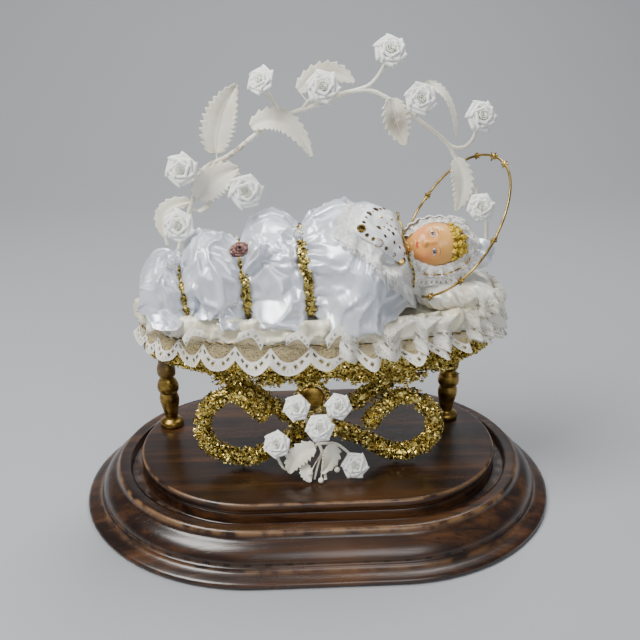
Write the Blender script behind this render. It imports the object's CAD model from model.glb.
# The dressed model of a swaddled wax infant in a gilt cradle under an arch of ribbon roses.
import bmesh
import bpy
import random
from math import copysign, cos, exp, pi, radians, sin, sqrt, tan
from mathutils import Matrix, Quaternion, Vector, noise
from mathutils.bvhtree import BVHTree


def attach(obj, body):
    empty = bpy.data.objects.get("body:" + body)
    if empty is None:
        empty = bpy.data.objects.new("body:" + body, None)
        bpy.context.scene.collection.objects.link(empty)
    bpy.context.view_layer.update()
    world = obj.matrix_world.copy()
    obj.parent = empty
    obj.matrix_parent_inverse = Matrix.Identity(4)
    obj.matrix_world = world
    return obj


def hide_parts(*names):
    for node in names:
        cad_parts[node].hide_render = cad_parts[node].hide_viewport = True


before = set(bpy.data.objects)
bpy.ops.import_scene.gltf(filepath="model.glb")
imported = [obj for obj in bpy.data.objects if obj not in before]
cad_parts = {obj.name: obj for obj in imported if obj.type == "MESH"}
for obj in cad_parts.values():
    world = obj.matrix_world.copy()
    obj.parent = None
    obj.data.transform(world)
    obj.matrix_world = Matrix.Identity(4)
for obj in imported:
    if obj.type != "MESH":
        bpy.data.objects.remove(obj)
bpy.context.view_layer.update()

mm = 0.001
weld = 1e-3 * mm
print("frame loaded with", len(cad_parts), "nodes")


class Value:  # a socket that takes part in sums
    def __init__(self, finish, socket):
        self.finish = finish
        self.socket = socket

    def math(self, operation, *others):
        inputs = dict(enumerate((self, *others)))
        return self.finish.node("ShaderNodeMath", {"operation": operation}, inputs)

    def __add__(self, other):
        return self.math("ADD", other)

    def __mul__(self, other):
        return self.math("MULTIPLY", other)

    def __sub__(self, other):
        return self.math("SUBTRACT", other)

    def __rsub__(self, other):
        return self.math("MULTIPLY_ADD", -1, other)

    def __truediv__(self, other):
        return self.math("DIVIDE", other)

    def __pow__(self, other):
        return self.math("POWER", other)

    def __abs__(self):
        return self.math("ABSOLUTE")

    __radd__ = __add__
    __rmul__ = __mul__


class Finish:  # a material whose nodes are written as expressions
    def __init__(self, name, **plain):
        self.material = bpy.data.materials.new(name)
        self.material.use_nodes = True
        self.tree = self.material.node_tree
        self.shader = self.tree.nodes["Principled BSDF"]
        for socket, value in plain.items():
            self.shader.inputs[socket.replace("_", " ")].default_value = value
        self.place = self.node("ShaderNodeTexCoord", output="Object")

    def node(self, kind, settings=None, inputs=None, output=0):
        made = self.tree.nodes.new(kind)
        for name, value in (settings or {}).items():
            if name == "stops":
                self.setStops(made.color_ramp, value)
            else:
                setattr(made, name, value)
        for name, value in (inputs or {}).items():
            if isinstance(value, Value):
                self.tree.links.new(value.socket, made.inputs[name])
            else:
                made.inputs[name].default_value = value
        return Value(self, made.outputs[output])

    def setStops(self, ramp, stops):
        for _ in stops[2:]:
            ramp.elements.new(0.5)
        for element, (position, colour) in zip(ramp.elements, stops):
            element.position = position
            element.color = (*colour, 1.0)

    def feed(self, **links):
        for name, value in links.items():
            self.tree.links.new(value.socket, self.shader.inputs[name.replace("_", " ")])

    def stretched(self, x, y, z, vector=None):
        return self.node("ShaderNodeMapping", None, {"Vector": vector or self.place, "Scale": (x, y, z)})

    def cloud(self, scale, detail=3.0, vector=None, distortion=0.0):
        inputs = {"Vector": vector or self.place, "Scale": scale, "Detail": detail, "Distortion": distortion}
        return self.node("ShaderNodeTexNoise", None, inputs)

    def streaks(self, detail, x, y, z, distortion=0.0):
        return self.cloud(1.0, detail, self.stretched(x, y, z), distortion)

    def cells(self, scale, output="Distance", vector=None, feature="F1"):
        inputs = {"Vector": vector or self.place, "Scale": scale}
        return self.node("ShaderNodeTexVoronoi", {"feature": feature}, inputs, output)

    def ramp(self, value, *stops):
        return self.node("ShaderNodeValToRGB", {"stops": stops}, {0: value})

    def blend(self, factor, first, second):
        first, second = (part if isinstance(part, Value) else (*part, 1.0) for part in (first, second))
        return self.node("ShaderNodeMix", {"data_type": "RGBA"}, {0: factor, 6: first, 7: second}, 2)

    def paint(self, colour, *layers):
        for mask, tint in layers:
            colour = self.blend(mask, colour, tint)
        return colour

    def fade(self, value, low, high, start=0.0, end=1.0):
        inputs = {0: value, 1: low, 2: high, 3: start, 4: end}
        return self.node("ShaderNodeMapRange", {"interpolation_type": "SMOOTHSTEP"}, inputs)

    def near(self, value, centre, width):
        return self.fade(abs(value - centre), 0.0, width, 1.0, 0.0)

    def far(self, x, y):
        return (x * x + y * y).math("SQRT")

    def axes(self, vector=None):
        split = self.tree.nodes.new("ShaderNodeSeparateXYZ")
        self.tree.links.new((vector or self.place).socket, split.inputs[0])
        return [Value(self, output) for output in split.outputs]

    def bump(self, height, distance, strength=1.0):
        inputs = {"Height": height, "Distance": distance, "Strength": strength}
        self.feed(Normal=self.node("ShaderNodeBump", None, inputs))


# Shared sums and shapes
def clamp(value, low=0.0, high=1.0):
    return min(max(value, low), high)


def smooth(value, low, high):
    t = clamp((value - low) / (high - low))
    return t * t * (3 - 2 * t)


def mix(a, b, t):
    return a + (b - a) * t


def ragged(x, y, scale, seed=0.0):
    return noise.noise(Vector((x * scale, y * scale, seed)))


def smoothPath(points, count):
    spots = [Vector(p) * mm for p in points]
    path = []
    for step in range(count + 1):
        place = (len(spots) - 1) * step / count
        k = min(int(place), len(spots) - 2)
        t = place - k
        a, b, c, d = (spots[min(max(k + n, 0), len(spots) - 1)] for n in (-1, 0, 1, 2))
        path.append(b + (c - a) * (t / 2) + (a * 2 - b * 5 + c * 4 - d) * (t * t / 2)
                    + (b * 3 - a - c * 3 + d) * (t ** 3 / 2))
    return path


def addTube(bm, path, radius, sides, swell=None, closed=False):
    curve = bpy.data.curves.new("path", "CURVE")
    curve.dimensions = "3D"
    curve.bevel_depth = radius * mm
    curve.bevel_resolution = (sides - 4) // 2
    curve.use_fill_caps = not closed
    spline = curve.splines.new("POLY")
    spline.points.add(len(path) - 1)
    spline.use_cyclic_u = closed
    for k, (point, place) in enumerate(zip(spline.points, path)):
        point.co = (*place, 1.0)
        point.radius = swell(k / (len(path) - 1)) if swell else 1.0
    holder = bpy.data.objects.new("path", curve)
    mesh = bpy.data.meshes.new_from_object(holder)
    bm.from_mesh(mesh)
    bpy.data.meshes.remove(mesh)
    bpy.data.objects.remove(holder)
    bpy.data.curves.remove(curve)


def twistPath(path, radius, turns, phase=0.0):
    twisted = []
    side = Vector((0.0, 0.0, 1.0))
    for k, place in enumerate(path):
        along = (path[min(k + 1, len(path) - 1)] - path[max(k - 1, 0)]).normalized()
        side = (side - along * side.dot(along)).normalized()
        a = 2 * pi * (turns * k / (len(path) - 1) + phase)
        twisted.append(place + (side * cos(a) + along.cross(side) * sin(a)) * radius * mm)
    return twisted


def addSheet(bm, columns, rows, shape, around=False):
    bm.loops.layers.uv.verify()
    made = bmesh.ops.create_grid(bm, x_segments=columns, y_segments=rows, size=0.5, calc_uvs=True)["verts"]
    for vert in made:
        vert.co = Vector(shape(vert.co.x + 0.5, vert.co.y + 0.5)) * mm
    if around:
        bmesh.ops.remove_doubles(bm, verts=made, dist=weld)


def capEnds(bm):
    rims = [edge for edge in bm.edges if edge.is_boundary]
    bmesh.ops.holes_fill(bm, edges=rims, sides=0)
    bmesh.ops.recalc_face_normals(bm, faces=bm.faces)


def joined(bm, verts):
    return [bm.edges.new(pair) for pair in zip(verts, verts[1:])]


def only(parts, kind):
    return [part for part in parts if isinstance(part, kind)]


def lathe(bm, profile, steps, matrix):
    verts = [bm.verts.new((radius * mm, 0.0, height * mm)) for radius, height in profile]
    edges = joined(bm, verts)
    before = set(bm.verts) - set(verts)
    bmesh.ops.spin(bm, geom=verts + edges, axis=(0, 0, 1), angle=2 * pi, steps=steps, use_merge=True)
    made = [vert for vert in bm.verts if vert not in before]
    bmesh.ops.remove_doubles(bm, verts=made, dist=weld)
    made = [vert for vert in bm.verts if vert not in before]
    faces = list({face for vert in made for face in vert.link_faces})
    bmesh.ops.recalc_face_normals(bm, faces=faces)
    bmesh.ops.transform(bm, matrix=matrix, verts=made)


def sweptOval(name, profile, finish, node):  # a moulding carried round the base's oval
    bm = bmesh.new()
    straight = walnut["straight"] * mm
    verts = [bm.verts.new((straight, -radius * mm, height * mm)) for radius, height in profile]
    edges = joined(bm, verts)
    for side in (1, -1):
        spun = bmesh.ops.spin(bm, geom=verts + edges, cent=(side * straight, 0, 0), axis=(0, 0, 1),
                              angle=pi, steps=walnut["steps"])["geom_last"]
        slid = bmesh.ops.extrude_edge_only(bm, edges=only(spun, bmesh.types.BMEdge))["geom"]
        verts, edges = only(slid, bmesh.types.BMVert), only(slid, bmesh.types.BMEdge)
        bmesh.ops.translate(bm, verts=verts, vec=(-side * 2 * straight, 0, 0))
    bmesh.ops.remove_doubles(bm, verts=bm.verts, dist=weld)
    bmesh.ops.recalc_face_normals(bm, faces=bm.faces)
    newPiece(name, bm, finish, [node])


def sprinkle(bm, template, matrices):
    for matrix in matrices:
        template.transform(matrix)
        bm.from_mesh(template)
        template.transform(matrix.inverted())


def newObject(name, data):
    made = bpy.data.objects.new(name, data)
    bpy.context.scene.collection.objects.link(made)
    return made


def newMesh(name, bm):
    mesh = bpy.data.meshes.new(name)
    bm.to_mesh(mesh)
    bm.free()
    return mesh


def newBody(name, bm, finish, smooth=True):
    mesh = newMesh(name, bm)
    mesh.materials.append(finish.material)
    mesh.polygons.foreach_set("use_smooth", [smooth] * len(mesh.polygons))
    return newObject(name, mesh)


def newPiece(name, bm, finish, nodes=(), smooth=True):
    piece = newBody(name, bm, finish, smooth)
    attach(piece, "root")
    if nodes:
        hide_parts(*nodes)
    return piece


def scatter(rng, spread):
    return Vector([rng.gauss(0, spread) for _ in range(3)])


def addModifier(piece, kind, **settings):
    modifier = piece.modifiers.new(kind.title(), kind)
    for name, value in settings.items():
        setattr(modifier, name, value)


def refine(piece):
    addModifier(piece, "SUBSURF", levels=1, render_levels=1, use_limit_surface=False)


def declareSheet(piece, length):
    least, frillWidth = 10.0 * mm, 6.0 * mm
    area = sum(face.area for face in piece.data.polygons)
    length = min(max(length * mm, least), max(area / frillWidth, least))


def turnedTo(direction, place, spin=0.0, scale=1.0):
    turn = Vector(direction).to_track_quat("Z", "Y") @ Quaternion((0, 0, 1), spin)
    return Matrix.LocRotScale(Vector(place) * mm, turn, Vector((scale,) * 3))


# Camera and light
def aimAt(thing, place, target):
    thing.location = place
    thing.rotation_euler = (target - place).to_track_quat("-Z", "Y").to_euler()


def makeCamera():
    view = dict(lens=56.25, place=(-26.7, -473.4, 301.6), target=(0.77, 0.0, 98.88))
    data = bpy.data.cameras.new("camera")
    data.lens = view["lens"]
    data.clip_start = 0.01
    camera = newObject("camera", data)
    aimAt(camera, Vector(view["place"]) * mm, Vector(view["target"]) * mm)
    bpy.context.scene.camera = camera


def makeLights():
    lamps = dict(
        key=dict(place=(-0.5, -0.3, 0.85), size=0.5, power=14.0, tint=(1.0, 0.985, 0.96)),
        fill=dict(place=(0.25, -1.05, 0.62), size=0.5, power=4.0, tint=(0.96, 0.98, 1.0)),
        top=dict(place=(0.2, 0.4, 0.95), size=0.4, power=8.5, tint=(1.0, 1.0, 1.0)),
    )
    for name, lamp in lamps.items():
        data = bpy.data.lights.new(name, "AREA")
        data.size = lamp["size"]
        data.energy = lamp["power"]
        data.color = lamp["tint"]
        aimAt(newObject(name, data), Vector(lamp["place"]), Vector((0, 0, 0.1)))
    world = bpy.data.worlds.new("studio")
    world.use_nodes = True
    world.node_tree.nodes["Background"].inputs["Color"].default_value = (0.62, 0.66, 0.72, 1.0)
    world.node_tree.nodes["Background"].inputs["Strength"].default_value = 0.22
    bpy.context.scene.world = world


def makeStage():
    stage = dict(reach=1.6, front=-1.2, back=0.9, rise=1.5, bend=0.35)
    bm = bmesh.new()
    outline = [(stage["front"], 0.0), (stage["back"] - stage["bend"], 0.0)]
    outline += [(stage["back"] - stage["bend"] * (1 - sin(a)), stage["bend"] * (1 - cos(a)))
                for a in (radians(15 * k) for k in range(1, 7))]
    outline.append((stage["back"], stage["rise"]))
    verts = [bm.verts.new((-stage["reach"], y, z)) for y, z in outline]
    edges = joined(bm, verts)
    slid = bmesh.ops.extrude_edge_only(bm, edges=edges)["geom"]
    bmesh.ops.translate(bm, verts=only(slid, bmesh.types.BMVert), vec=(2 * stage["reach"], 0, 0))
    bmesh.ops.recalc_face_normals(bm, faces=bm.faces)
    floor = newBody("floor", bm, Finish("paleFloor", Roughness=0.75, Base_Color=(0.33, 0.34, 0.355, 1.0)))


# Walnut base
walnut = dict(
    straight=34.0, dark=(0.005, 0.0022, 0.0012), middle=(0.019, 0.0072, 0.0031), warm=(0.072, 0.028, 0.0085),
    worn=(0.22, 0.115, 0.045), rim=73.6, skirt=83.5, groove=82.3, dash=10.0, dashShare=0.68, steps=36,
)


def walnutFinish(name, board=False):
    finish = Finish(name, Coat_Weight=0.35, Coat_Roughness=0.22)
    x, y, z = [axis / mm for axis in finish.axes()]
    over = (abs(x) - walnut["straight"]).math("MAXIMUM", 0.0)
    radius = finish.far(over, y)
    grain = finish.streaks(7, 16, 190, 190, 0.7)
    bands = finish.streaks(3, 5, 46, 46, 1.6)
    pores = finish.streaks(2, 70, 1500, 1500)
    tone = grain * 0.55 + bands * 0.62 - finish.fade(pores, 0.56, 0.7) * 0.13
    warm = walnut["warm"]
    colour = finish.ramp(tone, (0.36, walnut["dark"]), (0.56, walnut["middle"]), (0.74, warm))
    patch = finish.fade(finish.cloud(22, 3), 0.42, 0.66)
    if board:
        edge = finish.near(radius, 60.6, 1.3) * finish.fade(z, 26.2, 27.6)
        front = finish.fade(y, -30.0, -58.0) * finish.fade(abs(x - 6), 60.0, 10.0)
        line = finish.near(z, 24.6, 0.5) * finish.fade(finish.cloud(90, 3), 0.4, 0.6)
        colour = finish.paint(colour, (front * patch * 0.8, warm), (line, (0.006, 0.003, 0.002)))
    else:
        high = finish.near(radius, walnut["rim"], 1.6) * finish.fade(z, 17.5, 20.5)
        low = finish.near(radius, walnut["skirt"] + 1.0, 2.6) * finish.near(z, 6.0, 1.6)
        edge = high + low * 0.45
        side = finish.fade(z, 20.0, 12.0) * finish.near(x - 8.0, 0.0, 62.0) * finish.fade(y, 0.0, -40.0)
        along = abs(x).math("MINIMUM", walnut["straight"]) + over.math("ARCTAN2", abs(y)) * walnut["groove"]
        share = walnut["dashShare"]
        dash = finish.fade((along / walnut["dash"]).math("FRACT"), share - 0.03, share, 1, 0)
        groove = finish.near(radius, walnut["groove"], 0.6) * finish.near(z, 8.4, 1.4) * dash
        dusty = finish.fade(finish.cloud(170, 4), 0.44, 0.6)
        dust = finish.near(radius, 64.0, 3.6) * finish.fade(z, 18.0, 16.6) * dusty
        colour = finish.paint(colour, (side * (patch * 0.6 + 0.4), warm), (groove * 0.6, (0.12, 0.07, 0.04)),
                              (dust * 0.5, (0.16, 0.13, 0.11)))
    wear = edge * finish.fade(finish.cloud(130, 4), 0.36, 0.6)
    scratch = finish.fade(finish.streaks(2, 30, 900, 400), 0.62, 0.7)
    finish.feed(Base_Color=finish.blend(wear * 0.8, colour, walnut["worn"]),
                Roughness=finish.cloud(30, 4) * 0.26 + scratch * 0.12 + wear * 0.15 + 0.17)
    finish.bump(grain * 0.3 - pores * 0.35 - scratch * 0.2, 0.25 * mm, 0.45)
    return finish


def makeBase():
    moulding = [
        (0.02, 0.0), (88.6, 0.0), (90.1, 0.5), (90.9, 1.6), (90.7, 2.8), (89.4, 3.6), (87.0, 4.4),
        (85.0, 5.1), (83.9, 5.9), (83.6, 6.7), (83.3, 7.2), (82.6, 7.45), (82.45, 8.2), (82.7, 8.9),
        (82.1, 10.6), (81.0, 12.5), (79.4, 14.4), (77.6, 15.8), (76.3, 16.5), (75.2, 17.2), (74.5, 18.1),
        (74.1, 19.3), (73.85, 20.2), (73.3, 21.0), (72.6, 21.35), (71.0, 21.4), (68.4, 21.4), (67.3, 21.2),
        (67.0, 20.7), (66.9, 17.3), (66.6, 16.55), (66.0, 16.4), (61.4, 16.4), (60.7, 16.6), (60.5, 17.3),
        (60.4, 21.8), (60.0, 22.35), (0.02, 22.4),
    ]
    sweptOval("mouldedBase", moulding, walnutFinish("walnutMoulding"), "base_moulding")
    board = [
        (0.02, 22.7), (59.6, 22.7), (60.6, 22.8), (60.95, 23.3), (61.0, 24.9), (60.95, 26.6), (60.6, 27.4),
        (60.0, 27.85), (59.2, 28.0), (40.0, 28.0), (0.02, 28.0),
    ]
    sweptOval("platformBoard", board, walnutFinish("walnutBoard", True), "base_platform")
    print("base made")


# Gilt legs
legs = dict(
    spots=(("leg_left", -80.6, -0.018, 56.6), ("leg_right", 73.3, -0.016, 55.7)), y=22.4, foot=28.3,
    rake=-0.204,
    profile=[
        (0.01, 0.0), (6.0, 0.0), (6.5, 0.5), (6.55, 1.5), (6.3, 2.9), (5.2, 3.7), (3.6, 4.5), (3.35, 5.2),
        (3.7, 7.5), (4.5, 12.0), (5.2, 16.0), (5.35, 18.4), (5.0, 20.6), (4.55, 22.0), (4.5, 22.6),
        (5.2, 23.3), (5.75, 24.4), (5.85, 26.4), (5.5, 28.6), (4.6, 30.6), (3.6, 31.9), (3.4, 32.6),
        (3.9, 33.3), (4.75, 34.2), (5.0, 36.0), (4.95, 38.2), (4.4, 40.4), (3.8, 42.0),
    ],
)


def giltFinish(name, tarnishFrom=200.0):
    finish = Finish(name, Metallic=1.0)
    z = finish.axes()[2] / mm
    mottle = finish.cloud(210, 5)
    brushed = finish.streaks(4, 160, 160, 900)
    stops = (0.34, (0.115, 0.062, 0.012)), (0.52, (0.34, 0.215, 0.05)), (0.68, (0.52, 0.36, 0.105))
    colour = finish.ramp(mottle * 0.6 + brushed * 0.4, *stops)
    tarnish = finish.fade(z, tarnishFrom - 6, tarnishFrom + 4) * finish.fade(finish.cloud(190, 4), 0.36, 0.5)
    speck = finish.fade(finish.cloud(520, 3), 0.6, 0.7)
    colour = finish.paint(colour, (tarnish, (0.10, 0.062, 0.038)), (speck * 0.6, (0.07, 0.04, 0.014)))
    finish.feed(Base_Color=colour, Metallic=1.0 - tarnish * 0.55 - speck * 0.25,
                Roughness=mottle * 0.25 + tarnish * 0.12 + 0.24)
    finish.bump(mottle * 0.5 + brushed * 0.5, 0.22 * mm, 0.5)
    return finish


def makeLegs():
    finishes = dict(leg_left=giltFinish("tarnishedGilt", 67.0), leg_right=giltFinish("giltPaint"))
    for node, x, lean, height in legs["spots"]:
        bm = bmesh.new()
        raked = Matrix.Translation(Vector((x, legs["y"], legs["foot"])) * mm)
        raked @= Matrix(((1, 0, lean, 0), (0, 1, legs["rake"], 0), (0, 0, 1, 0), (0, 0, 0, 1)))
        profile = legs["profile"] + [(3.8, height - 0.5), (3.4, height), (0.01, height)]
        lathe(bm, profile, 40, raked)
        newPiece(node.replace("leg_", "turnedLeg."), bm, finishes[node], [node])
    print("legs made")


# Bullion: crumbs of crushed gold wire over a core
bullion = dict(
    clumps=((-46, -27, 79.5, 3.2, 190), (40, -27, 79.0, 5.0, 420), (-7, -30.5, 80.0, 4.0, 260),
            (18, -31, 81.0, 5.5, 360),
            (-26, -31, 80.5, 4.5, 240), (58, -24, 83.0, 4.0, 200)),
    core=3.3, crumbsPerMm=12.0, low=0.25, high=1.25, ropeSamples=90, clumpCount=70)
ropes = dict(
    scroll_a=[
        (-52, -11, 76.6), (-42, -12.5, 70.6), (-30, -14, 62), (-21, -17, 56.4), (-10.8, -23.5, 54),
        (0.5, -29, 53), (12, -28, 49.5), (24.7, -25, 41.5), (31.6, -24.5, 36.8), (40, -24.3, 34),
        (47.4, -24.3, 35), (53.8, -24.3, 38.6), (58, -24.5, 45), (58, -25, 53.5), (53, -25.5, 61.9),
        (42.5, -26, 67.8), (33.7, -26.5, 64.6), (27.8, -26.5, 58), (24.3, -26.5, 51.6),
    ],
    scroll_b=[
        (44, -11, 76.2), (34.5, -13, 69.5), (25.7, -15, 64.7), (15.2, -17, 58.5), (2.3, -17.2, 50.2),
        (-9.2, -18, 44), (-17.1, -21.5, 41), (-22.8, -24, 39.4), (-30.7, -25.5, 36), (-39, -26, 34.2),
        (-49, -26, 36.6), (-57.1, -26, 42), (-60.2, -26, 51), (-58.2, -26.2, 61), (-53.5, -26.5, 67.6),
        (-46.5, -26.5, 71), (-39.4, -26.5, 69), (-33.5, -26.5, 63.6), (-28.6, -26.5, 57.9),
    ],
)


def bullionFinish():
    finish = Finish("crushedGoldWire", Metallic=1.0)
    crumb = finish.cells(1050, "Color")
    tone = finish.node("ShaderNodeSeparateColor", None, {0: crumb})
    patch = finish.cloud(120, 3)
    colour = finish.ramp(tone * 0.7 + patch * 0.5, (0.3, (0.06, 0.04, 0.007)), (0.46, (0.32, 0.23, 0.042)),
                         (0.62, (0.64, 0.49, 0.12)), (0.84, (0.90, 0.76, 0.30)))
    finish.feed(Base_Color=colour, Roughness=tone * 0.22 + 0.16)
    finish.bump(finish.cloud(1600, 2), 0.1 * mm, 0.4)
    return finish


def crumbTemplates(seed):
    rng = random.Random(seed)
    templates = []
    for size in (0.7, 0.85, 0.6):  # bent ends of wire
        bm = bmesh.new()
        arc = [Vector((size * cos(a), size * sin(a), 0.35 * a)) * mm for a in (0.0, 0.9, 1.8, 2.7, 3.5)]
        addTube(bm, arc, 0.3, 4)
        templates.append(bm)
    for size in (0.95, 1.3, 1.1):  # flattened chips
        bm = bmesh.new()
        bmesh.ops.create_icosphere(bm, subdivisions=1, radius=size * mm)
        bmesh.ops.scale(bm, vec=(1.15, 0.8, 0.5), verts=bm.verts)
        for vert in bm.verts:
            vert.co *= rng.uniform(0.7, 1.2)
        templates.append(bm)
    return [newMesh("crumb", bm) for bm in templates]


def sprinkleCrumbs(bm, rng, spots, templates, scale=1.0):
    piles = [[] for _ in templates]
    for place in spots:
        axis = scatter(rng, 1).normalized()
        turn = Quaternion(axis, rng.uniform(0, 6.28))
        size = scale * rng.uniform(0.7, 1.2)
        piles[rng.randrange(len(templates))].append(Matrix.LocRotScale(place, turn, Vector((size,) * 3)))
    for template, matrices in zip(templates, piles):
        sprinkle(bm, template, matrices)


def aroundPath(rng, path, count, low, high):
    spots = []
    for _ in range(count):
        place = rng.uniform(0, len(path) - 1.001)
        k = int(place)
        along = (path[k + 1] - path[k]).normalized()
        side = along.orthogonal().normalized()
        side.rotate(Quaternion(along, rng.uniform(0, 2 * pi)))
        spots.append(path[k].lerp(path[k + 1], place - k) + side * rng.uniform(low, high) * mm)
    return spots


def makeRopes(finish, templates):
    rng = random.Random(5)
    for node, points in ropes.items():
        path = smoothPath(points, bullion["ropeSamples"])
        length = sum((b - a).length for a, b in zip(path, path[1:])) / mm
        bm = bmesh.new()
        core = bullion["core"]
        addTube(bm, path, core, 10)
        lumps = [path[int(k)] for k in (rng.uniform(0, len(path) - 1) for _ in range(bullion["clumpCount"]))]
        count = int(length * bullion["crumbsPerMm"])
        spots = aroundPath(rng, path, count, core + bullion["low"] - 0.3, core + bullion["high"])
        spots += [lump + scatter(rng, 1.6) * mm for lump in lumps]
        sprinkleCrumbs(bm, rng, spots, templates)
        newPiece(node.replace("scroll_", "bullionRope."), bm, finish, [node], smooth=False)
    print("ropes made")


def makeMedallion(finish, templates):
    m = dict(x=-5.3, y=-31.4, z=71.0, ring=7.7)
    profile = [(0.01, 0.0), (6.0, 0.0), (6.35, 0.4), (6.2, 1.1), (5.5, 1.75), (4.4, 2.25), (3.0, 2.6),
               (1.5, 2.75), (0.01, 2.8)]
    bm = bmesh.new()
    lathe(bm, profile, 40, turnedTo((0, -1, 0), (m["x"], m["y"], m["z"])))
    newPiece("giltDome", bm, giltFinish("giltDomeFoil"), ["medallion"])
    bm = bmesh.new()
    ring = [Vector((m["x"] + m["ring"] * cos(a), m["y"] - 0.9, m["z"] + m["ring"] * sin(a))) * mm
            for a in (2 * pi * k / 40 for k in range(40))]
    addTube(bm, ring, 0.75, 6, closed=True)
    rng = random.Random(11)
    sprinkleCrumbs(bm, rng, aroundPath(rng, ring + ring[:1], 230, 0.3, 1.1), templates, 0.8)
    newPiece("bullionRing", bm, finish, ["medallion_ring"], smooth=False)


# Cradle
cradle = dict(
    length=90.0, depth=35.0, bottom=81.0, lift=5.0, power=2.15, crumbs=5200, columns=120,
    padLength=89.0, padDepth=33.5, seam=101.0,
)


def ovalSpot(turn, length, depth, z):
    a = 2 * pi * turn
    bend = lambda v: copysign(abs(v) ** (2 / cradle["power"]), v)
    return Vector((length * bend(cos(a)), depth * bend(sin(a)), z))


def between(rows, share):  # the values at a share of the way through a table
    place = share * (len(rows) - 1)
    k = min(int(place), len(rows) - 2)
    return [mix(low, high, place - k) for low, high in zip(rows[k], rows[k + 1])]


def endLift(turn, most):
    return most * abs(cos(2 * pi * turn)) ** 3


def makeTray(finish, templates):
    c = cradle
    rows = [(9.0, 0.8, 1.0), (5.5, 0.2, 1.0), (2.2, 1.6, 1.0), (1.2, 5.0, 1.0), (1.3, 9.0, 0.8),
            (1.6, 16.6, 0.0)]

    def side(u, v):
        inset, up, lifted = between(rows, v)
        return ovalSpot(u, c["length"] - inset, c["depth"] - inset,
                        c["bottom"] + up + lifted * endLift(u, c["lift"]))

    bm = bmesh.new()
    addSheet(bm, c["columns"], len(rows) - 1, side, around=True)
    capEnds(bm)
    rng = random.Random(21)
    spots = []
    for _ in range(c["crumbs"]):
        u, v = rng.random(), rng.triangular(0.05, 0.92, 0.45)
        out = rng.uniform(-0.2, 1.0) + 0.8 * max(0.0, ragged(u * 60, v * 6, 1.0))
        place = side(u, v)
        outward = Vector((place.x / c["length"], place.y / c["depth"], -0.35)).normalized()
        spots.append((place + outward * out) * mm)
    for x, y, z, spread, count in bullion["clumps"]:
        spots += [Vector((x + rng.gauss(0, spread), y + rng.gauss(0, 1.6), z + rng.gauss(0, 1.5))) * mm
                  for _ in range(count)]
    sprinkleCrumbs(bm, rng, spots, templates)
    newPiece("bullionTray", bm, finish, ["cradle_tray"], smooth=False)
    print("tray made")


# Cloth
def satinFinish(name, pale, shade, roughness, stain=None, lustre=0.5):
    finish = Finish(name, IOR=1.6, Metallic=lustre, Sheen_Weight=0.08)
    mottle = finish.cloud(60, 3)
    colour = finish.blend(finish.fade(mottle, 0.3, 0.72), shade, pale)
    if stain:
        spots = finish.fade(finish.cloud(75, 5), 0.5, 0.72)
        colour = finish.blend(spots * 0.7, colour, stain)
    weave = finish.streaks(1, 5200, 1500, 1500)
    finish.feed(Base_Color=colour, Roughness=mottle * 0.08 + weave * 0.05 + roughness)
    finish.bump(weave * 0.25 + finish.cloud(420, 3) * 0.2, 0.14 * mm, 0.3)
    return finish


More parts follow.
